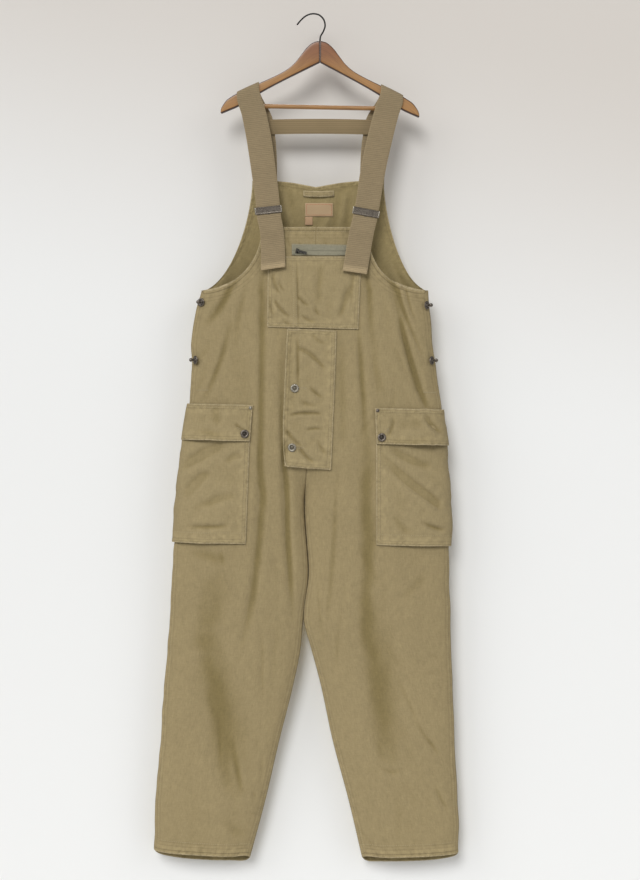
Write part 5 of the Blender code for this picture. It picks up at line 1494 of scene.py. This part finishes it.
for piece, seams in SEAMS.items():
    lines = []
    for edge, insets, *ends in seams:
        start, stop = (share_at(piece, end) if end < 0 else end for end in ends or (0.0, 1.0))
        lines += [inset_line(piece, edge, inset, start, stop) for inset in insets]
    sew(f"{piece}_stitches", lines + [line_on(piece, *ends) for ends in STRAIGHT.get(piece, ())])
print("garment sewn")

# %% [markdown]
# ## Buttonholes and bar tacks
# A buttonhole is an oval of stitches laid across its line, close together. A bar tack is the same laid
# across a short line, where a seam's end takes the strain: at the foot of the side vents and at the
# flap's corner.

# %% Close stitches
sew("buttonhole_stitches", [oval("fly_flap", -22.0, -749.0, 11.0, 1.5, 0.0),
                            oval("fly_flap", -27.0, -866.0, 11.0, 1.5, 0.0),
                            oval("cargo_flap_right", -141.0, -832.0, 10.0, 1.4, -35.0),
                            oval("cargo_flap_left", 144.0, -836.0, 10.0, 1.4, 50.0)],
    pitch=0.75, length=1.9, thick=0.6, cross=True)
sew("bar_tack_stitches", [line_on("fly_flap", -47.0, -634.0, -26.0, -634.6),
                          line_on("front_right", -232.0, -752.0, -206.0, -752.0),
                          line_on("front_left", 246.0, -757.0, 220.0, -756.0)],
    pitch=0.8, length=2.6, thick=0.6, cross=True)
sew("zip_coil", [line_on("zip_tape", -40.0, -474.0, 69.0, -474.6, 160)], COIL, "zip_tape",
    pitch=1.1, length=3.6, thick=0.6, cross=True)
sew("zip_tape_stitches", [inset_line("zip_tape", "top", 1.6)], slot="zip_tape", pitch=3.2)
for side in ("right", "left"):
    strap = f"strap_{side}"
    sew(f"{strap}_stitches", [inset_line(strap, "foot", 10.5), inset_line(strap, "top", 3.0),
                              inset_line(strap, "top", 26.0)], WEB_THREAD, "webbing", pitch=3.0, length=2.4)
sew("cross_strap_stitches", [inset_line("cross_strap", "top", 3.0)], WEB_THREAD, "webbing",
    pitch=3.0, length=2.4)
sew("loop_stitches", [inset_line("hanging_loop", "near", 3.0), inset_line("hanging_loop", "far", 3.0)],
    pitch=2.4, length=1.9)

# %% [markdown]
# ## Hard pieces kept from the CAD
# The zip's slider and its tab have the right shape already, and the tab swings on the slider's bridge, so
# both stay as they are and only get a finish.

# %% Finish of the slider and the tab
for name in ("zip_slider", "zip_pull"):
    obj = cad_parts[name]
    obj.data.materials.clear()
    obj.data.materials.append(ZIP_METAL)

# %% [markdown]
# ## What each cloth was before it was sewn
# The width, length and area of each piece's cut are worked out and printed.

# %% Cuts of the cloth pieces
for name, (outer, _) in PIECES.items():
    across, down = lengths(outer)
    width, length = float(across[:, -1].max()) * MM, float(down[-1].max()) * MM
    area = cloth_area(outer)
    "stretched" if "strap" in name else "hung"
    print(f"{name}: {width:.3f} x {length:.3f} m, {area:.4f} m2")

# %% [markdown]
# ## Wall, light and camera
# The hanger hangs on a pale wall that takes soft shadows. The wall is seen only from its front, so that
# views from behind show the back of the garment. Far lamps light the whole length alike: a window in
# front, one at each side for gentle shade in the creases, and one behind for views from the back. The
# world fills the rest.

# %% Wall and floor
def wall_finish():
    """A matt wall, with painted shade that makes it greyer and warmer towards the top and more so at one
    side, that is clear from behind."""
    material, tree, shader = new_finish("pale_wall", {"Roughness": 0.95})
    apart = node(tree, "ShaderNodeSeparateXYZ", {"Vector": object_place(tree)}).outputs
    # painted shade: the wall's colour turns darker and warmer towards the top, more so towards +X
    upper = between(tree, sums(tree, "MULTIPLY_ADD", apart["X"], 0.22, apart["Z"]), -0.75, 0.12)
    base = mixed(tree, upper, (0.830, 0.832, 0.822), (0.660, 0.620, 0.575))
    tree.links.new(base, shader.inputs["Base Color"])
    clear = node(tree, "ShaderNodeBsdfTransparent", {}).outputs[0]
    behind = node(tree, "ShaderNodeNewGeometry", {}).outputs["Backfacing"]
    both = node(tree, "ShaderNodeMixShader", {0: behind, 1: shader.outputs[0], 2: clear}).outputs[0]
    tree.links.new(both, tree.nodes["Material Output"].inputs["Surface"])
    return material


def stage_plane(name, front, back, material):
    """A flat stage piece 8 m wide between a y and z at its front or foot and at its back or top."""
    mesh = bpy.data.meshes.new(name)
    mesh.from_pydata([(-4, *front), (4, *front), (4, *back), (-4, *back)], [], [(0, 1, 2, 3)])
    mesh.materials.append(material)
    obj = bpy.data.objects.new(name, mesh)
    bpy.context.scene.collection.objects.link(obj)
    return obj


FLOOR_Z, CEILING_Z = -2.15, 2.2
# the wall leans back towards its top, so that it passes close behind the hems
low_y, high_y = (0.034 + 0.019 * (z + 1.68) for z in (FLOOR_Z, CEILING_Z))
wall = stage_plane("wall", (low_y, FLOOR_Z), (high_y, CEILING_Z), wall_finish())
floor_finish = new_finish("pale_floor", {"Base Color": (0.80, 0.80, 0.79, 1.0), "Roughness": 0.9})[0]
stage_plane("floor", (-5, FLOOR_Z), (4, FLOOR_Z), floor_finish)
wall.visible_diffuse = wall.visible_shadow = wall.visible_glossy = wall.visible_transmission = False

# %% Lamps and world
# a lamp stands so many degrees to one side and up, looks so many degrees wide, which softens its shadows, and
# has a strength
LAMPS = {"window": (-16.0, 31.0, 26.0, 1.68), "side_right": (-58.0, 26.0, 36.0, 0.70),
         "side_left": (55.0, 24.0, 36.0, 0.46), "behind": (180.0, 30.0, 30.0, 1.2)}
for name, (side, height, width, strength) in LAMPS.items():
    lamp = bpy.data.lights.new(name, "SUN")
    lamp.angle = math.radians(width)
    lamp.energy = strength
    obj = bpy.data.objects.new(name, lamp)
    turn, rise = math.radians(side), math.radians(height)
    toward = Vector((math.sin(turn) * math.cos(rise), -math.cos(turn) * math.cos(rise), math.sin(rise)))
    obj.rotation_euler = toward.to_track_quat("Z", "Y").to_euler()
    bpy.context.scene.collection.objects.link(obj)

world = bpy.data.worlds.new("studio")
bpy.context.scene.world = world
world.use_nodes = True
tree = world.node_tree
seen = node(tree, "ShaderNodeLightPath", {}).outputs["Is Camera Ray"]
tone = node(tree, "ShaderNodeMix", {0: seen, 6: (0.26, 0.26, 0.26, 1.0), 7: (0.86, 0.86, 0.85, 1.0)},
            data_type="RGBA").outputs[2]
tree.links.new(tone, tree.nodes["Background"].inputs["Color"])

# %% Camera
camera = bpy.data.cameras.new("camera")
camera.sensor_width = 36.0
camera.lens = 72.6
camera_object = bpy.data.objects.new("camera", camera)
camera_object.location = (0.015, -3.55, -0.851)
camera_object.rotation_euler = (math.pi / 2, 0.0, 0.0)
bpy.context.scene.collection.objects.link(camera_object)
bpy.context.scene.camera = camera_object
bpy.context.scene.view_settings.view_transform = "Standard"
print("lamps", len(LAMPS), "camera at", tuple(round(v, 3) for v in camera_object.location))
